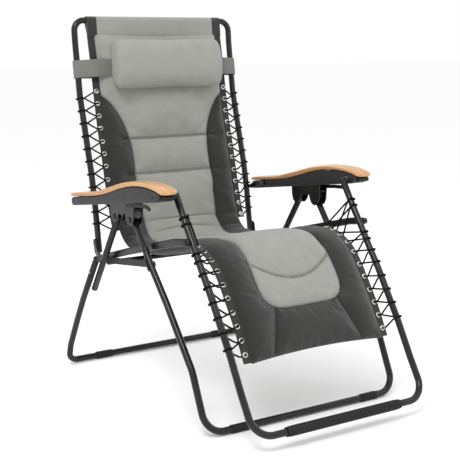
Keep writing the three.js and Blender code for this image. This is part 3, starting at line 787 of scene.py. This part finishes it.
def cover_mesh():
    """The whole quilted cover as one closed two-sided grid, puffed between its seams."""
    columns = np.linspace(-PAD_HALF, PAD_HALF, 71)
    rows, cols = len(LINE), len(columns)
    x, s = (a.ravel() for a in np.meshgrid(columns, LINE_S))
    points = np.stack((x, s), axis=1)
    seam = np.full(len(x), 1e9)
    for line in cover_seams():
        seam = np.minimum(seam, polyline_distance(points, line))
    crease = np.full(len(x), 1e9)
    for h in CREASES:
        crease = np.minimum(crease, np.abs(s - s_at(h)))
    rim = np.minimum(PAD_HALF - np.abs(x), np.minimum(s, S_END - s))
    quilt = (0.06 + 0.94 * puff(seam, 34)) * (0.55 + 0.45 * puff(crease, 22))
    front = EDGE_THICK + FRONT_PUFF * puff(rim, 34) * quilt
    rear = EDGE_THICK + REAR_PUFF * puff(rim, 30) * (0.5 + 0.5 * puff(seam, 24))
    mid = np.repeat(LINE, cols, axis=0)
    n = np.repeat(LINE_N, cols, axis=0)
    tail = np.clip((s - (S_END - 70)) / 70, 0, 1) ** 2 * 11 * (1 - (x / PAD_HALF) ** 2)
    along = np.repeat(np.stack((LINE_N[:, 1], -LINE_N[:, 0]), axis=1), cols, axis=0)
    top = mid + n * front[:, None] + along * tail[:, None]
    under = mid - n * rear[:, None] + along * tail[:, None]
    pts = np.vstack((np.column_stack((x, top)), np.column_stack((x, under))))
    base = rows * cols
    faces = []
    for r in range(rows - 1):
        for c in range(cols - 1):
            a = r * cols + c
            faces.append((a, a + 1, a + cols + 1, a + cols))
            faces.append((base + a, base + a + cols, base + a + cols + 1, base + a + 1))
        for c in (0, cols - 1):
            a = r * cols + c
            edge = (a, a + cols, base + a + cols, base + a)
            faces.append(edge if c == 0 else (a + cols, a, base + a, base + a + cols))
    for r in (0, rows - 1):
        for c in range(cols - 1):
            a = r * cols + c
            edge = (a + 1, a, base + a, base + a + 1)
            faces.append(edge if r == 0 else (a, a + 1, base + a + 1, base + a))
    obj = fix_normals(piece("cover", pts, faces, M_COVER, None))
    for name, values in (("arc", s), ("panel", signed_panel(x, s)), ("seam", seam * MM)):
        scalar_layer(obj.data, name, np.tile(values, 2))
    vector_layer(obj.data, "weave", np.tile(np.column_stack((x * MM, s * MM, x * 0)), (2, 1)))
    hold = np.minimum(seam, rim) < 4.0
    pinned = np.concatenate((hold, np.minimum(seam, rim) < 5.0))
    inflate(obj, pinned, 5.0, 16, 0.022, 0.015)
    return subdivided(obj)


def cut_cover(whole, name, low, high):
    """The part of the cover between two arc lengths, closed at its cuts."""
    mesh = whole.data.copy()
    mesh.name = name
    with editing(mesh) as bm:
        arc = bm.verts.layers.float["arc"]
        drop = [f for f in bm.faces if not low <= sum(v[arc] for v in f.verts) / len(f.verts) < high]
        bmesh.ops.delete(bm, geom=drop, context="FACES")
        rim = [e for e in bm.edges if e.is_boundary]
        filled = bmesh.ops.holes_fill(bm, edges=rim, sides=0)["faces"]
        filled = bmesh.ops.triangulate(bm, faces=filled)["faces"]
        for f in filled:
            f.smooth = False
            for e in f.edges:
                if any(g not in filled for g in e.link_faces):
                    e.smooth = False
    obj = bpy.data.objects.new(name, mesh)
    bpy.context.scene.collection.objects.link(obj)
    return obj


def row_near(point):
    """Arc length of the cover row nearest a side-view point."""
    return float(LINE_S[int(np.argmin(np.linalg.norm(LINE - point, axis=1)))])


def build_cover():
    whole = cover_mesh()
    bend = row_near((376, 452))
    middle = row_near((120, 434))
    knee = row_near((-160, 482))
    gap = 0.01
    back = cut_cover(whole, "cover_back", -1, bend - gap)
    rear = cut_cover(whole, "cover_seat_rear", bend - gap, middle - gap)
    front = cut_cover(whole, "cover_seat_front", middle - gap, knee - gap)
    leg = cut_cover(whole, "cover_leg_rest", knee - gap, 1e9)
    bpy.data.objects.remove(whole)
    for obj in (back, rear, front, leg):
        remember_rest(obj)
    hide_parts("back_pad", "back_bend_pad")
    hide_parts("seat_pad")
    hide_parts("leg_pad", "leg_bend_pad")
    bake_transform(back, "back", "back_knuckle", place(0, (396, 525)), place(0, (376, 452)))
    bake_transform(rear, "back_knuckle", "seat", place(0, (376, 446)), place(0, (300, 414)))
    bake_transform(front, "seat", "leg_knuckle", place(0, (-95, 484)), place(0, (-160, 482)))
    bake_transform(leg, "leg_knuckle", "leg_rest", place(0, (-160, 482)), place(0, (-222, 450)))


build_cover()


# ---- eyelet strips, eyelets and lacing ----
class Strip:
    """A side-view line with arc length, for the strips outside the padding."""

    def __init__(self, line):
        self.line = resample(catmull(line, 10), 4.0)
        self.n = line_normals(self.line)
        self.s = lengths(self.line)

    def at(self, s, lift=0.0):
        p = np.array([np.interp(s, self.s, self.line[:, k]) for k in (0, 1)])
        n = np.array([np.interp(s, self.s, self.n[:, k]) for k in (0, 1)])
        return p + n / np.linalg.norm(n) * lift

    def nearest(self, point):
        return float(self.s[int(np.argmin(np.linalg.norm(self.line - np.array(point), axis=1)))])


def eyelet_strip(name, strip, eyelets, s0, s1, side, outer):
    """A flat strip with round eyelet holes, cut between s0 and s1."""
    marks = [s for s in (strip.nearest(e) for e in eyelets) if s0 + 8 < s < s1 - 8]
    hole, half, cell = 4.4, 1.3, 12
    edges = [s0]
    for s in marks:
        edges += [s - cell, s + cell]
    edges.append(s1)

    def plain(a, b):
        count = max(1, int(round((b - a) / cell)))
        pts, faces = [], []
        xs = (BAND_IN, (BAND_IN + outer) / 2, outer)
        for k in range(count + 1):
            s = a + (b - a) * k / count
            for lift in (half, -half):
                for x in xs:
                    q = strip.at(s, lift)
                    pts.append((side * x, q[0], q[1]))
        for k in range(count):
            p, q = 6 * k, 6 * (k + 1)
            for i in (0, 1):
                faces.append((p + i, p + i + 1, q + i + 1, q + i))
                faces.append((p + 3 + i, q + 3 + i, q + 4 + i, p + 4 + i))
            faces.append((p + 2, p + 5, q + 5, q + 2))
            faces.append((p, q, q + 3, p + 3))
        return pts, faces

    def holed(s):
        pts, faces = [], []
        mid = cell / 2
        rim = [(outer, 0), (outer, mid), (outer, cell), (EYELET_X, cell), (BAND_IN, cell), (BAND_IN, mid),
               (BAND_IN, 0), (BAND_IN, -mid), (BAND_IN, -cell), (EYELET_X, -cell), (outer, -cell),
               (outer, -mid)]
        m = len(rim)
        for lift in (half, -half):
            for x, d in rim:
                q = strip.at(s + d, lift)
                pts.append((side * x, q[0], q[1]))
            for x, d in rim:
                a = math.atan2(d, x - EYELET_X)
                q = strip.at(s + hole * math.sin(a), lift)
                pts.append((side * (EYELET_X + hole * math.cos(a)), q[0], q[1]))
        for k in range(m):
            j = (k + 1) % m
            faces.append((k, j, m + j, m + k))
            faces.append((2 * m + k, 3 * m + k, 3 * m + j, 2 * m + j))
            faces.append((m + k, m + j, 3 * m + j, 3 * m + k))
            if rim[k][0] == rim[j][0] and rim[k][0] in (outer, BAND_IN):
                faces.append((k, 2 * m + k, 2 * m + j, j))
        return pts, faces

    parts = []
    for i, (a, b) in enumerate(zip(edges[:-1], edges[1:])):
        parts.append(plain(a, b) if i % 2 == 0 else holed((a + b) / 2))
    obj = piece(name, *merged(parts), M_TRIM, "fabric_charcoal")
    with editing(obj.data) as bm:
        bmesh.ops.remove_doubles(bm, verts=bm.verts, dist=0.0002)
        rims = [e for e in bm.edges if e.is_boundary]
        bmesh.ops.holes_fill(bm, edges=rims, sides=8)
        bmesh.ops.recalc_face_normals(bm, faces=bm.faces)
    sharp_by_angle(obj, 40)
    remember_rest(obj)
    return obj, marks


def eyelet_rings(name, strip, marks, side):
    """Pressed metal rings round the lacing holes, in front and behind."""
    profile = [(4.2, -2.4), (4.2, 2.4), (4.6, 3.1), (6.0, 3.5), (7.5, 3.0), (8.3, 1.7), (8.3, 1.35),
               (4.9, 1.2), (4.9, -1.2), (7.0, -1.35), (7.0, -1.7), (6.2, -2.6), (5.0, -2.9)]
    sides = 24
    parts = []
    for s in marks:
        centre = strip.at(s)
        out = strip.at(s, 1.0) - centre
        along = np.array([-out[1], out[0]])
        pts = []
        for k in range(sides):
            a = 2 * math.pi * k / sides
            for r, h in profile:
                q = centre + along * (r * math.sin(a)) + out * h
                pts.append((side * (EYELET_X + r * math.cos(a)), q[0], q[1]))
        parts.append((pts, loft_faces(sides, len(profile), closed=True)))
    obj = fix_normals(piece(name, *merged(parts), M_EYELET, "steel"))
    return remember_rest(obj)


BACK_STRIP = Strip(COVER_LINE[:11])
LEG_STRIP = Strip(((-60, 476),) + LEG_EYELETS + ((-388, 208),))
KNEE = (-160, 482)


def strip_with_rings(kind, word, side, strip, eyelets, s0, s1):
    """A strip and the rings in its holes."""
    band, marks = eyelet_strip(f"{kind}_edge_strip_{word}", strip, eyelets, s0, s1, side, BAND_OUT)
    return band, eyelet_rings(f"{kind}_eyelets_{word}", strip, marks, side)


def build_strips():
    last = BACK_STRIP.nearest(BACK_EYELETS[-1]) + 12
    knee = LEG_STRIP.nearest(KNEE)
    end = LEG_STRIP.nearest(LEG_EYELETS[-1]) + 24
    start = LEG_STRIP.nearest(LEG_EYELETS[0]) - 22
    for side, word in SIDES:
        back = strip_with_rings("back", word, side, BACK_STRIP, BACK_EYELETS, 2, last)
        for obj in back:
            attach(obj, "back")
        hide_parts(f"back_lacing_band_{word}")
        upper = strip_with_rings("knee", word, side, LEG_STRIP, LEG_EYELETS, start, knee)
        lower = strip_with_rings("leg", word, side, LEG_STRIP, LEG_EYELETS, knee, end)
        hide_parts(f"leg_lacing_band_{word}")
        for obj in upper:
            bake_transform(obj, "seat", "leg_knuckle", place(0, (-95, 484)), place(0, KNEE))
        for obj in lower:
            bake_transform(obj, "leg_knuckle", "leg_rest", place(0, KNEE), place(0, (-222, 450)))


build_strips()


def nearest_on(line, point):
    """The nearest point of a side-view polyline and its unit normal there."""
    best = None
    p = np.array(point, float)
    for a, b in zip(np.array(line[:-1], float), np.array(line[1:], float)):
        d = b - a
        t = min(max((p - a) @ d / (d @ d), 0), 1)
        q = a + t * d
        gap = np.linalg.norm(p - q)
        if best is None or gap < best[0]:
            best = (gap, q, np.array([-d[1], d[0]]) / np.linalg.norm(d))
    return best[1], best[2]


CORD_R = 2.7
CORD_REACH = TUBE_R + CORD_R + 0.1


def cord_stations(eyelets, wraps, frame_line, frame_x, side):
    """Through each eyelet, round the frame tube, on to the next eyelet."""
    n = np.gradient(np.array(eyelets, float), axis=0)
    n = np.stack((-n[:, 1], n[:, 0]), axis=1) / np.linalg.norm(n, axis=1)[:, None]
    out = []
    for i, e in enumerate(np.array(eyelets, float)):
        t, m = nearest_on(frame_line, wraps[min(i, len(wraps) - 1)])
        facing = math.copysign(6.0, (t - e) @ n[i])
        away, near = e - n[i] * facing, e + n[i] * facing
        if i > 0:
            out.append((side * (BAND_OUT + 5), *away))
        out.append((side * EYELET_X, *away))
        out.append((side * EYELET_X, *e))
        out.append((side * EYELET_X, *near))
        if i == len(wraps):
            break
        towards = math.copysign(1.0, (e - t) @ m)
        for k in range(-4, 4):
            a = k * math.pi / 5.0
            q = t + m * (CORD_REACH * math.sin(a) * towards)
            out.append((side * (frame_x + CORD_REACH * math.cos(a)), *q))
    return out


def back_wraps():
    wraps = []
    for q, p in zip(BACK_EYELETS[:-1], BACK_EYELETS[1:]):
        z = (p[1] + q[1]) / 2
        if abs(z - ARM_PIVOT[1]) < 12:
            z = ARM_PIVOT[1] + 14
        wraps.append(((p[0] + q[0]) / 2, z))
    return wraps


def build_cords():
    for side, word in SIDES:
        for kind, body, route in (("back", "back", (BACK_EYELETS, back_wraps(), BACK_LINE, BACK_X)),
                                  ("leg", "leg_rest", (LEG_EYELETS, LEG_WRAPS, LEG_REST_LINE, LEG_REST_X))):
            path = resample(catmull(cord_stations(*route, side), 5), 2.6)
            tube(f"{kind}_lacing_{word}", path, M_CORD, "cord_black", body, [f"{kind}_cord_{word}"],
                 CORD_R, 8, 1)


build_cords()


# ---- painted tube frames ----
def build_frames():
    for name, body, line, x, corner, node in (
            ("back_frame_tube", "back", BACK_LINE, BACK_X, 40, "back_frame"),
            ("leg_rest_tube", "leg_rest", LEG_REST_LINE, LEG_REST_X, 65, "leg_rest_frame"),
            ("front_leg_tube", "front_legs", FRONT_LEG_LINE, FRONT_LEG_X, 57, "front_leg_frame"),
            ("rear_leg_tube", "rear_legs", REAR_LEG_LINE, REAR_LEG_X, 57, "rear_leg_frame")):
        tube(name, u_path(line, x, corner), M_FRAME, "frame_black", body, [node])
    for side, word in SIDES:
        strut = np.array(side_line(REAR_STRUT_LINE, side * STRUT_X), float)
        tube(f"rear_strut_tube_{word}", strut, M_FRAME, "frame_black", "rear_legs", [f"rear_strut_{word}"])
    cross = np.array([(-RAIL_X1, 275, 380), (RAIL_X1, 275, 380)], float)
    tube("seat_cross_bar", cross, M_FRAME, "frame_black", "seat", ["seat_cross_tube"], 8)


build_frames()


def rounded_slab(name, outline, x0, x1, side, material, slot, body, stands_for, bevel, segments):
    """A side-view outline with its edges rounded, mirrored to one side."""
    a, b = (x0, x1) if side > 0 else (-x1, -x0)
    obj = piece(name, *slab(outline, a, b), material, slot)
    bevelled(obj, bevel, segments)
    remember_rest(obj)
    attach(obj, body)
    if stands_for:
        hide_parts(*stands_for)
    return obj


def build_rails():
    rail = ribbon(resample(rounded([(0, y, z) for y, z in RAIL_LINE], default=90)[:, 1:], 18), 11)
    link = ribbon((LINK_PIVOT, BACK_HINGE), 10)
    plate = ribbon(((391, 424), (384, 396), BACK_HINGE), 11)
    for side, word in SIDES:
        rounded_slab(f"seat_rail_bar_{word}", rail, RAIL_X0, RAIL_X1, side, M_FRAME, "frame_black", "seat",
                     [f"seat_rail_{word}"], 4.5, 4)
        rounded_slab(f"link_strap_{word}", link, LINK_X0, LINK_X1, side, M_CASING, "casing_grey", "link_bars",
                     [f"link_bar_{word}"], 1.2, 2)
        rounded_slab(f"hinge_plate_{word}", plate, BACK_X + TUBE_R + 0.3, RAIL_X0 - 0.4, side, M_FRAME,
                     "frame_black", "back", [f"back_hinge_plate_{word}"], 1.2, 2)


build_rails()

# ---- armrests ----
ARM_TOP = ((420, 586), (352, 596), (275, 606), (215, 621), (150, 638), (101, 651.5), (60, 660.5), (20, 667),
           (-13, 670), (-53, 672), (-93, 671), (-128, 667), (-155, 660), (-167, 652))
ARM_SEAM = ((420, 574), (352, 582), (275, 592), (215, 602), (150, 618), (101, 632.5), (60, 643), (20, 651),
            (-13, 655.5), (-53, 658), (-93, 657.5), (-132, 653.5), (-156, 648), (-166, 647))
WOOD_HALF = 28.5
CASING_HALF = 27.5
NOSE_HALF = 19


def superellipse(power, count):
    """A ring of points on a unit square with soft corners."""
    out = []
    for k in range(count):
        a = 2 * math.pi * k / count
        c, s = math.cos(a), math.sin(a)
        out.append((math.copysign(abs(c) ** (2 / power), c), math.copysign(abs(s) ** (2 / power), s)))
    return out


def stations(line, count):
    """The line's points spread over a fixed count."""
    t = np.linspace(0, 1, count)
    return np.stack([np.interp(t, np.linspace(0, 1, len(line)), line[:, k]) for k in (0, 1)], axis=1)


def arm_wood(side, word):
    """Wood arm top: a lofted S-curve with rounded edges, a soft tip at the front and a squarer rear end."""
    count, ring = 96, 28
    top, seam = (stations(resample(catmull(line, 10), 6.0), count) for line in (ARM_TOP, ARM_SEAM))
    pts, weave = [], []
    run = lengths((top + seam) / 2)
    for i in range(count):
        mid, up = (top[i] + seam[i]) / 2, (top[i] - seam[i]) / 2
        near_front, near_rear = run[-1] - run[i], run[i]
        shrink = math.sqrt(max(0.0, 1 - max(0.0, 1 - near_front / 20) ** 2.6))
        rear = math.sqrt(max(0.0, 1 - max(0.0, 1 - near_rear / 7) ** 2))
        w = WOOD_HALF * max(0.03, shrink) * max(0.55, rear)
        h = np.linalg.norm(up) * max(0.12, min(1, shrink * 1.25)) * max(0.5, rear)
        direction = up / max(np.linalg.norm(up), 1e-6)
        for u, v in superellipse(4.2, ring):
            crown = 1.0 if v < 0 else 1 - 0.10 * u * u
            q = mid + direction * (h * v * crown)
            pts.append((side * (ARM_X + w * u), q[0], q[1]))
            weave.append((run[i] * MM, (w * u + 60 * (side + 2)) * MM, h * v * MM))
    obj = fix_normals(piece(f"arm_wood_{word}", pts, loft_faces(count, ring), M_WOOD, "wood"))
    sharp_by_angle(obj, 60)
    vector_layer(obj.data, "weave", weave)
    remember_rest(obj)
    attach(obj, "armrests")
    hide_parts(f"arm_top_{word}")


CASING_SIDE = ((-148, 648), (-132, 652.5), (-93, 656.5), (-53, 657), (-13, 654.5), (20, 650), (60, 642),
               (101, 631.5), (150, 617), (215, 601), (275, 591), (352, 581), (414, 573), (415, 556),
               (409, 547), (262, 568),
               (95, 593), (-20, 609), (-126, 624.5), (-140, 630), (-148, 640))


def arm_casing(side, word):
    x0, x1 = ARM_X - CASING_HALF, ARM_X + CASING_HALF
    corners = [(0, y, z) for y, z in CASING_SIDE + CASING_SIDE[:1]]
    line = resample(rounded(corners, default=14)[:, 1:], 12)[:-1]
    rounded_slab(f"arm_shell_{word}", [tuple(p) for p in line], x0, x1, side, M_CASING, "casing_grey",
                 "armrests", [f"arm_casing_{word}", f"arm_slide_rail_{word}"], 2.6, 3)
    nose = ((-131, 636), (-131, 650), (-156, 645), (-161, 641), (-160, 634), (-150, 631))
    rounded_slab(f"arm_nose_block_{word}", nose, ARM_X - NOSE_HALF, ARM_X + NOSE_HALF, side, M_BLACK,
                 "black_plastic", "armrests", (), 3, 3)


def rivet_head(name, centre, x, side, radius, height):
    """A domed rivet head that faces sideways, on the armrest."""
    profile = [(0.001, -height * 0.4), (radius * 0.8, -height * 0.4), (radius, 0), (radius, height * 0.35),
               (radius * 0.86, height * 0.75), (radius * 0.5, height), (0.001, height)]
    pts, faces = lathe_x([(r, side * h) for r, h in profile], side * x, centre, 24)
    obj = piece(name, pts, faces, M_BLACK, "black_plastic")
    with editing(obj.data) as bm:
        bmesh.ops.remove_doubles(bm, verts=bm.verts, dist=0.00001)
        bmesh.ops.delete(bm, geom=[f for f in bm.faces if f.calc_area() < 1e-12], context="FACES_ONLY")
        bmesh.ops.recalc_face_normals(bm, faces=bm.faces)
    sharp_by_angle(obj, 40)
    remember_rest(obj)
    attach(obj, "armrests")


def build_arms():
    for side, word in SIDES:
        arm_wood(side, word)
        arm_casing(side, word)
        rivet_head(f"casing_rivet_{word}", (-112, 637), ARM_X + CASING_HALF, side, 4, 1.8)


build_arms()

# ---- sleeves on the floor bars ----
CAP_INNER = 201
CAP_LENGTH = 58


def sleeve(name, centre, outer, x0, x1, body, stands_for):
    """A rubber sleeve along X round a tube, with rounded lips."""
    inner = TUBE_R + 0.2
    half, mid = abs(x1 - x0) / 2, (x0 + x1) / 2
    outside = []
    for k in range(25):
        h = -half + 2 * half * k / 24
        lip = math.sqrt(max(0, 1 - max(0, (abs(h) - half + 2.5) / 2.5) ** 2))
        outside.append((inner + 0.6 + (outer - inner - 0.6) * (0.6 + 0.4 * lip), h))
    profile = [(inner, half), (inner, -half)] + outside
    obj = fix_normals(piece(name, *lathe_x(profile, mid, centre, 36), M_RUBBER, "rubber_black"))
    sharp_by_angle(obj, 50)
    remember_rest(obj)
    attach(obj, body)
    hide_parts(stands_for)


def build_sleeves():
    sleeve("foot_bar_grip", LEG_REST_LINE[-1], 14.6, -198, 198, "leg_rest", "foot_bar_sleeve")
    for side, word in SIDES:
        x0 = -CAP_INNER - CAP_LENGTH if side < 0 else CAP_INNER
        for which, line in (("front", FRONT_LEG_LINE), ("rear", REAR_LEG_LINE)):
            sleeve(f"{which}_foot_cap_{word}", line[-1], 12, x0, x0 + CAP_LENGTH, f"{which}_legs",
                   f"{which}_foot_sleeve_{word}")


build_sleeves()

# ---- top sleeve of the cover, round the back frame's top bar ----
POCKET_LIGHT_HALF = 219  # half width of its light middle


def build_top_sleeve():
    """A fabric pocket round the top bar, drawn down to the seam where the padding starts."""
    top = BACK_LINE[-1]
    foot = LINE[0] + LINE_N[0] * 2
    down = np.array(foot) - np.array(top)
    length = np.linalg.norm(down)
    axis = down / length
    out = np.array([axis[1], -axis[0]])
    radius = 12.6
    arc = [math.pi * k / 24 for k in range(25)]
    shape = [(math.cos(a) * radius, -math.sin(a) * radius) for a in arc]
    body_pts = shape + [(-radius * 0.62, length * 0.55), (-3.2, length + 6), (3.2, length + 6),
                        (radius * 0.62, length * 0.55)]
    ends = catmull(body_pts + body_pts[:1], 4)[:-1]
    xs = np.concatenate((np.linspace(-252, -229, 5), np.linspace(-227, 227, 60), np.linspace(229, 252, 5)))
    pts, weave, panel = [], [], []
    run = lengths(ends)
    for x in xs:
        sag = 0.8 * math.sin(x * 0.05) + 0.5 * math.sin(x * 0.13 + 1)
        for i, (u, v) in enumerate(ends):
            swell = 1 + 0.05 * sag * max(0, v) / length
            q = np.array(top) + out * (u * swell) + axis * v
            pts.append((x, q[0], q[1]))
            weave.append((x * MM, run[i] * MM, 0))
            panel.append((POCKET_LIGHT_HALF - abs(x)) * MM)
    faces = loft_faces(len(xs), len(ends))
    obj = fix_normals(piece("top_bar_pocket", pts, faces, M_COVER, "fabric_grey"))
    sharp_by_angle(obj, 60)
    vector_layer(obj.data, "weave", weave)
    scalar_layer(obj.data, "panel", panel)
    scalar_layer(obj.data, "seam", [1.0] * len(panel))
    remember_rest(obj)
    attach(obj, "back")
    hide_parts("top_bar_sleeve")


build_top_sleeve()

# ---- head pillow and its strap ----
PILLOW_AT = (438, 984)
PILLOW_HALF = 195
BACK_TILT = math.atan2(BACK_LINE[5][0] - BACK_LINE[4][0], BACK_LINE[5][1] - BACK_LINE[4][1])
ACROSS = np.array([math.cos(BACK_TILT), -math.sin(BACK_TILT)])
UP = np.array([math.sin(BACK_TILT), math.cos(BACK_TILT)])


def build_pillow():
    """Bolster with round ends, gathered into small pleats at each end seam."""
    count, ring = 75, 72
    pts, weave = [], []
    for t in np.linspace(-1, 1, count):
        x = PILLOW_HALF * math.sin(t * math.pi / 2) if abs(t) > 0.8 else PILLOW_HALF * t * (
            math.sin(0.4 * math.pi) / 0.8)
        end = max(0.0, (abs(x) - (PILLOW_HALF - 24)) / 24)
        size = math.sqrt(max(0.0004, 1 - 0.5 * end ** 2.2 - 0.5 * end ** 8))
        for k in range(ring):
            a = 2 * math.pi * k / ring
            c, s = math.cos(a), math.sin(a)
            pleat = 1 + 0.035 * end ** 1.5 * math.sin(a * 14 + 0.6 * math.sin(3 * a))
            across = 36 * math.copysign(abs(c) ** 0.86, c) * size * pleat
            up = 78 * math.copysign(abs(s) ** 0.92, s) * size * pleat
            q = np.array(PILLOW_AT) + ACROSS * across + UP * up
            pts.append((x, q[0], q[1]))
            weave.append((x * MM, a * 0.055, end * 0.03))
    faces = loft_faces(count, ring)
    obj = fix_normals(piece("pillow_bolster", pts, faces, M_PILLOW, "fabric_grey"))
    vector_layer(obj.data, "weave", weave)
    x = np.array(pts)[:, 0]
    inflate(obj, np.abs(x) > PILLOW_HALF * 0.985, 1.2, 14, 0.004, 0.02)
    subdivided(obj)
    remember_rest(obj)
    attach(obj, "pillow")
    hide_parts("head_pillow")


build_pillow()

STRAP_AT = np.array((506.6, 939))
STRAP_HEIGHT = 56
STRAP_LOOP = ((-305.3, -5), (-300, -12.4), (0, -12.4), (300, -12.4), (305.3, -5), (305.3, 5), (299, 14),
              (246, 39), (0, 42), (-246, 39), (-299, 14), (-305.3, 5))


def build_strap():
    """One flat elastic loop: behind the back frame and through the pillow's rear."""
    corners = [(x, d, 0.0) for x, d in STRAP_LOOP]
    path = rounded(corners + corners[:2], {1: 6, 3: 6, 4: 6, 5: 6, 6: 30, 7: 12, 9: 12, 10: 30, 11: 6, 12: 6},
                   default=6, step=0.2)
    path = resample(path[1:-1, :2], 9.0)
    n = len(path)
    d = np.roll(path, -1, axis=0) - np.roll(path, 1, axis=0)
    d /= np.linalg.norm(d, axis=1)[:, None]
    side = np.stack((d[:, 1], -d[:, 0]), axis=1)
    run = lengths(path)
    levels = [(-0.5, 0.3), (-0.485, 1.0), (-0.25, 1.1), (0, 1.1), (0.25, 1.1), (0.485, 1.0), (0.5, 0.3)]
    section = [(v, h) for v, h in levels] + [(v, -h) for v, h in levels[::-1]]
    pts, weave = [], []
    for i in range(n):
        for v, h in section:
            x, depth = path[i] + side[i] * h
            q = STRAP_AT - ACROSS * depth + UP * (STRAP_HEIGHT * (v + 0.5))
            pts.append((x, q[0], q[1]))
            weave.append((run[i] * MM, v * STRAP_HEIGHT * MM, h * MM))
    faces = loft_faces(n, len(section), closed=True)
    obj = fix_normals(piece("pillow_elastic", pts, faces, M_STRAP, "elastic_grey"))
    sharp_by_angle(obj, 60)
    vector_layer(obj.data, "weave", weave)
    remember_rest(obj)
    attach(obj, "pillow")
    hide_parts("pillow_strap")


build_strap()


# ---- finishes for the frame's own parts ----
def dress_frame():
    finish = {"frame_black": M_FRAME, "casing_grey": M_CASING, "wood": M_WOOD, "steel": M_STEEL,
              "black_plastic": M_BLACK, "rubber_black": M_RUBBER, "fabric_grey": M_PILLOW,
              "fabric_charcoal": M_TRIM, "elastic_grey": M_STRAP, "cord_black": M_CORD}
    slots = {p["node"]: p["material_slot"] for p in frame["record"]["subparts"]}
    for name, obj in frame["nodes"].items():
        obj.data.materials.clear()
        obj.data.materials.append(finish[slots[name]])
        remember_rest(obj)
        sharp_by_angle_only(obj)


def sharp_by_angle_only(obj):
    """Smooth shading with crisp edges, without touching the vertices."""
    obj.data.polygons.foreach_set("use_smooth", [True] * len(obj.data.polygons))
    obj.data.set_sharp_from_angle(angle=math.radians(32))


dress_frame()


# ---- rest coordinates for every piece that has none ----
for piece_object in list(bpy.context.scene.objects):
    if piece_object.type == "MESH":
        remember_rest(piece_object)


# ---- floor, light and background ----
def area_light(name, place_at, aim, size, power, tint=(1, 1, 1)):
    data = bpy.data.lights.new(name, "AREA")
    data.shape = "RECTANGLE"
    data.size, data.size_y = size
    data.energy = power
    data.color = tint
    obj = bpy.data.objects.new(name, data)
    bpy.context.scene.collection.objects.link(obj)
    obj.location = place_at
    obj.rotation_euler = (Vector(aim) - Vector(place_at)).to_track_quat("-Z", "Y").to_euler()


def build_studio():
    half = 30.0
    mesh = bpy.data.meshes.new("floor")
    corners = [(-half, -half, 0), (half, -half, 0), (half, half, 0), (-half, half, 0)]
    mesh.from_pydata(corners, [], [(0, 1, 2, 3)])
    floor = bpy.data.objects.new("floor", mesh)
    bpy.context.scene.collection.objects.link(floor)
    n = Nodes("studio_floor", roughness=0.9)
    n.colour((0.97, 0.97, 0.97))
    n.shader.inputs["Specular IOR Level"].default_value = 0.1
    mesh.materials.append(n.material)
    world = bpy.data.worlds.new("studio")
    world.use_nodes = True
    world.node_tree.nodes["Background"].inputs["Color"].default_value = (1, 1, 1, 1)
    world.node_tree.nodes["Background"].inputs["Strength"].default_value = 1.0
    bpy.context.scene.world = world
    bpy.context.scene.view_settings.view_transform = "Standard"
    area_light("key", (-1.9, -1.6, 3.4), (0, 0, 0.5), (1.2, 1.2), 62)
    area_light("fill", (2.8, -1.6, 2.0), (0, 0, 0.5), (1.2, 1.6), 12)
    area_light("rim", (0.6, 3.0, 2.6), (0, 0, 0.7), (2.0, 1.2), 26)


build_studio()
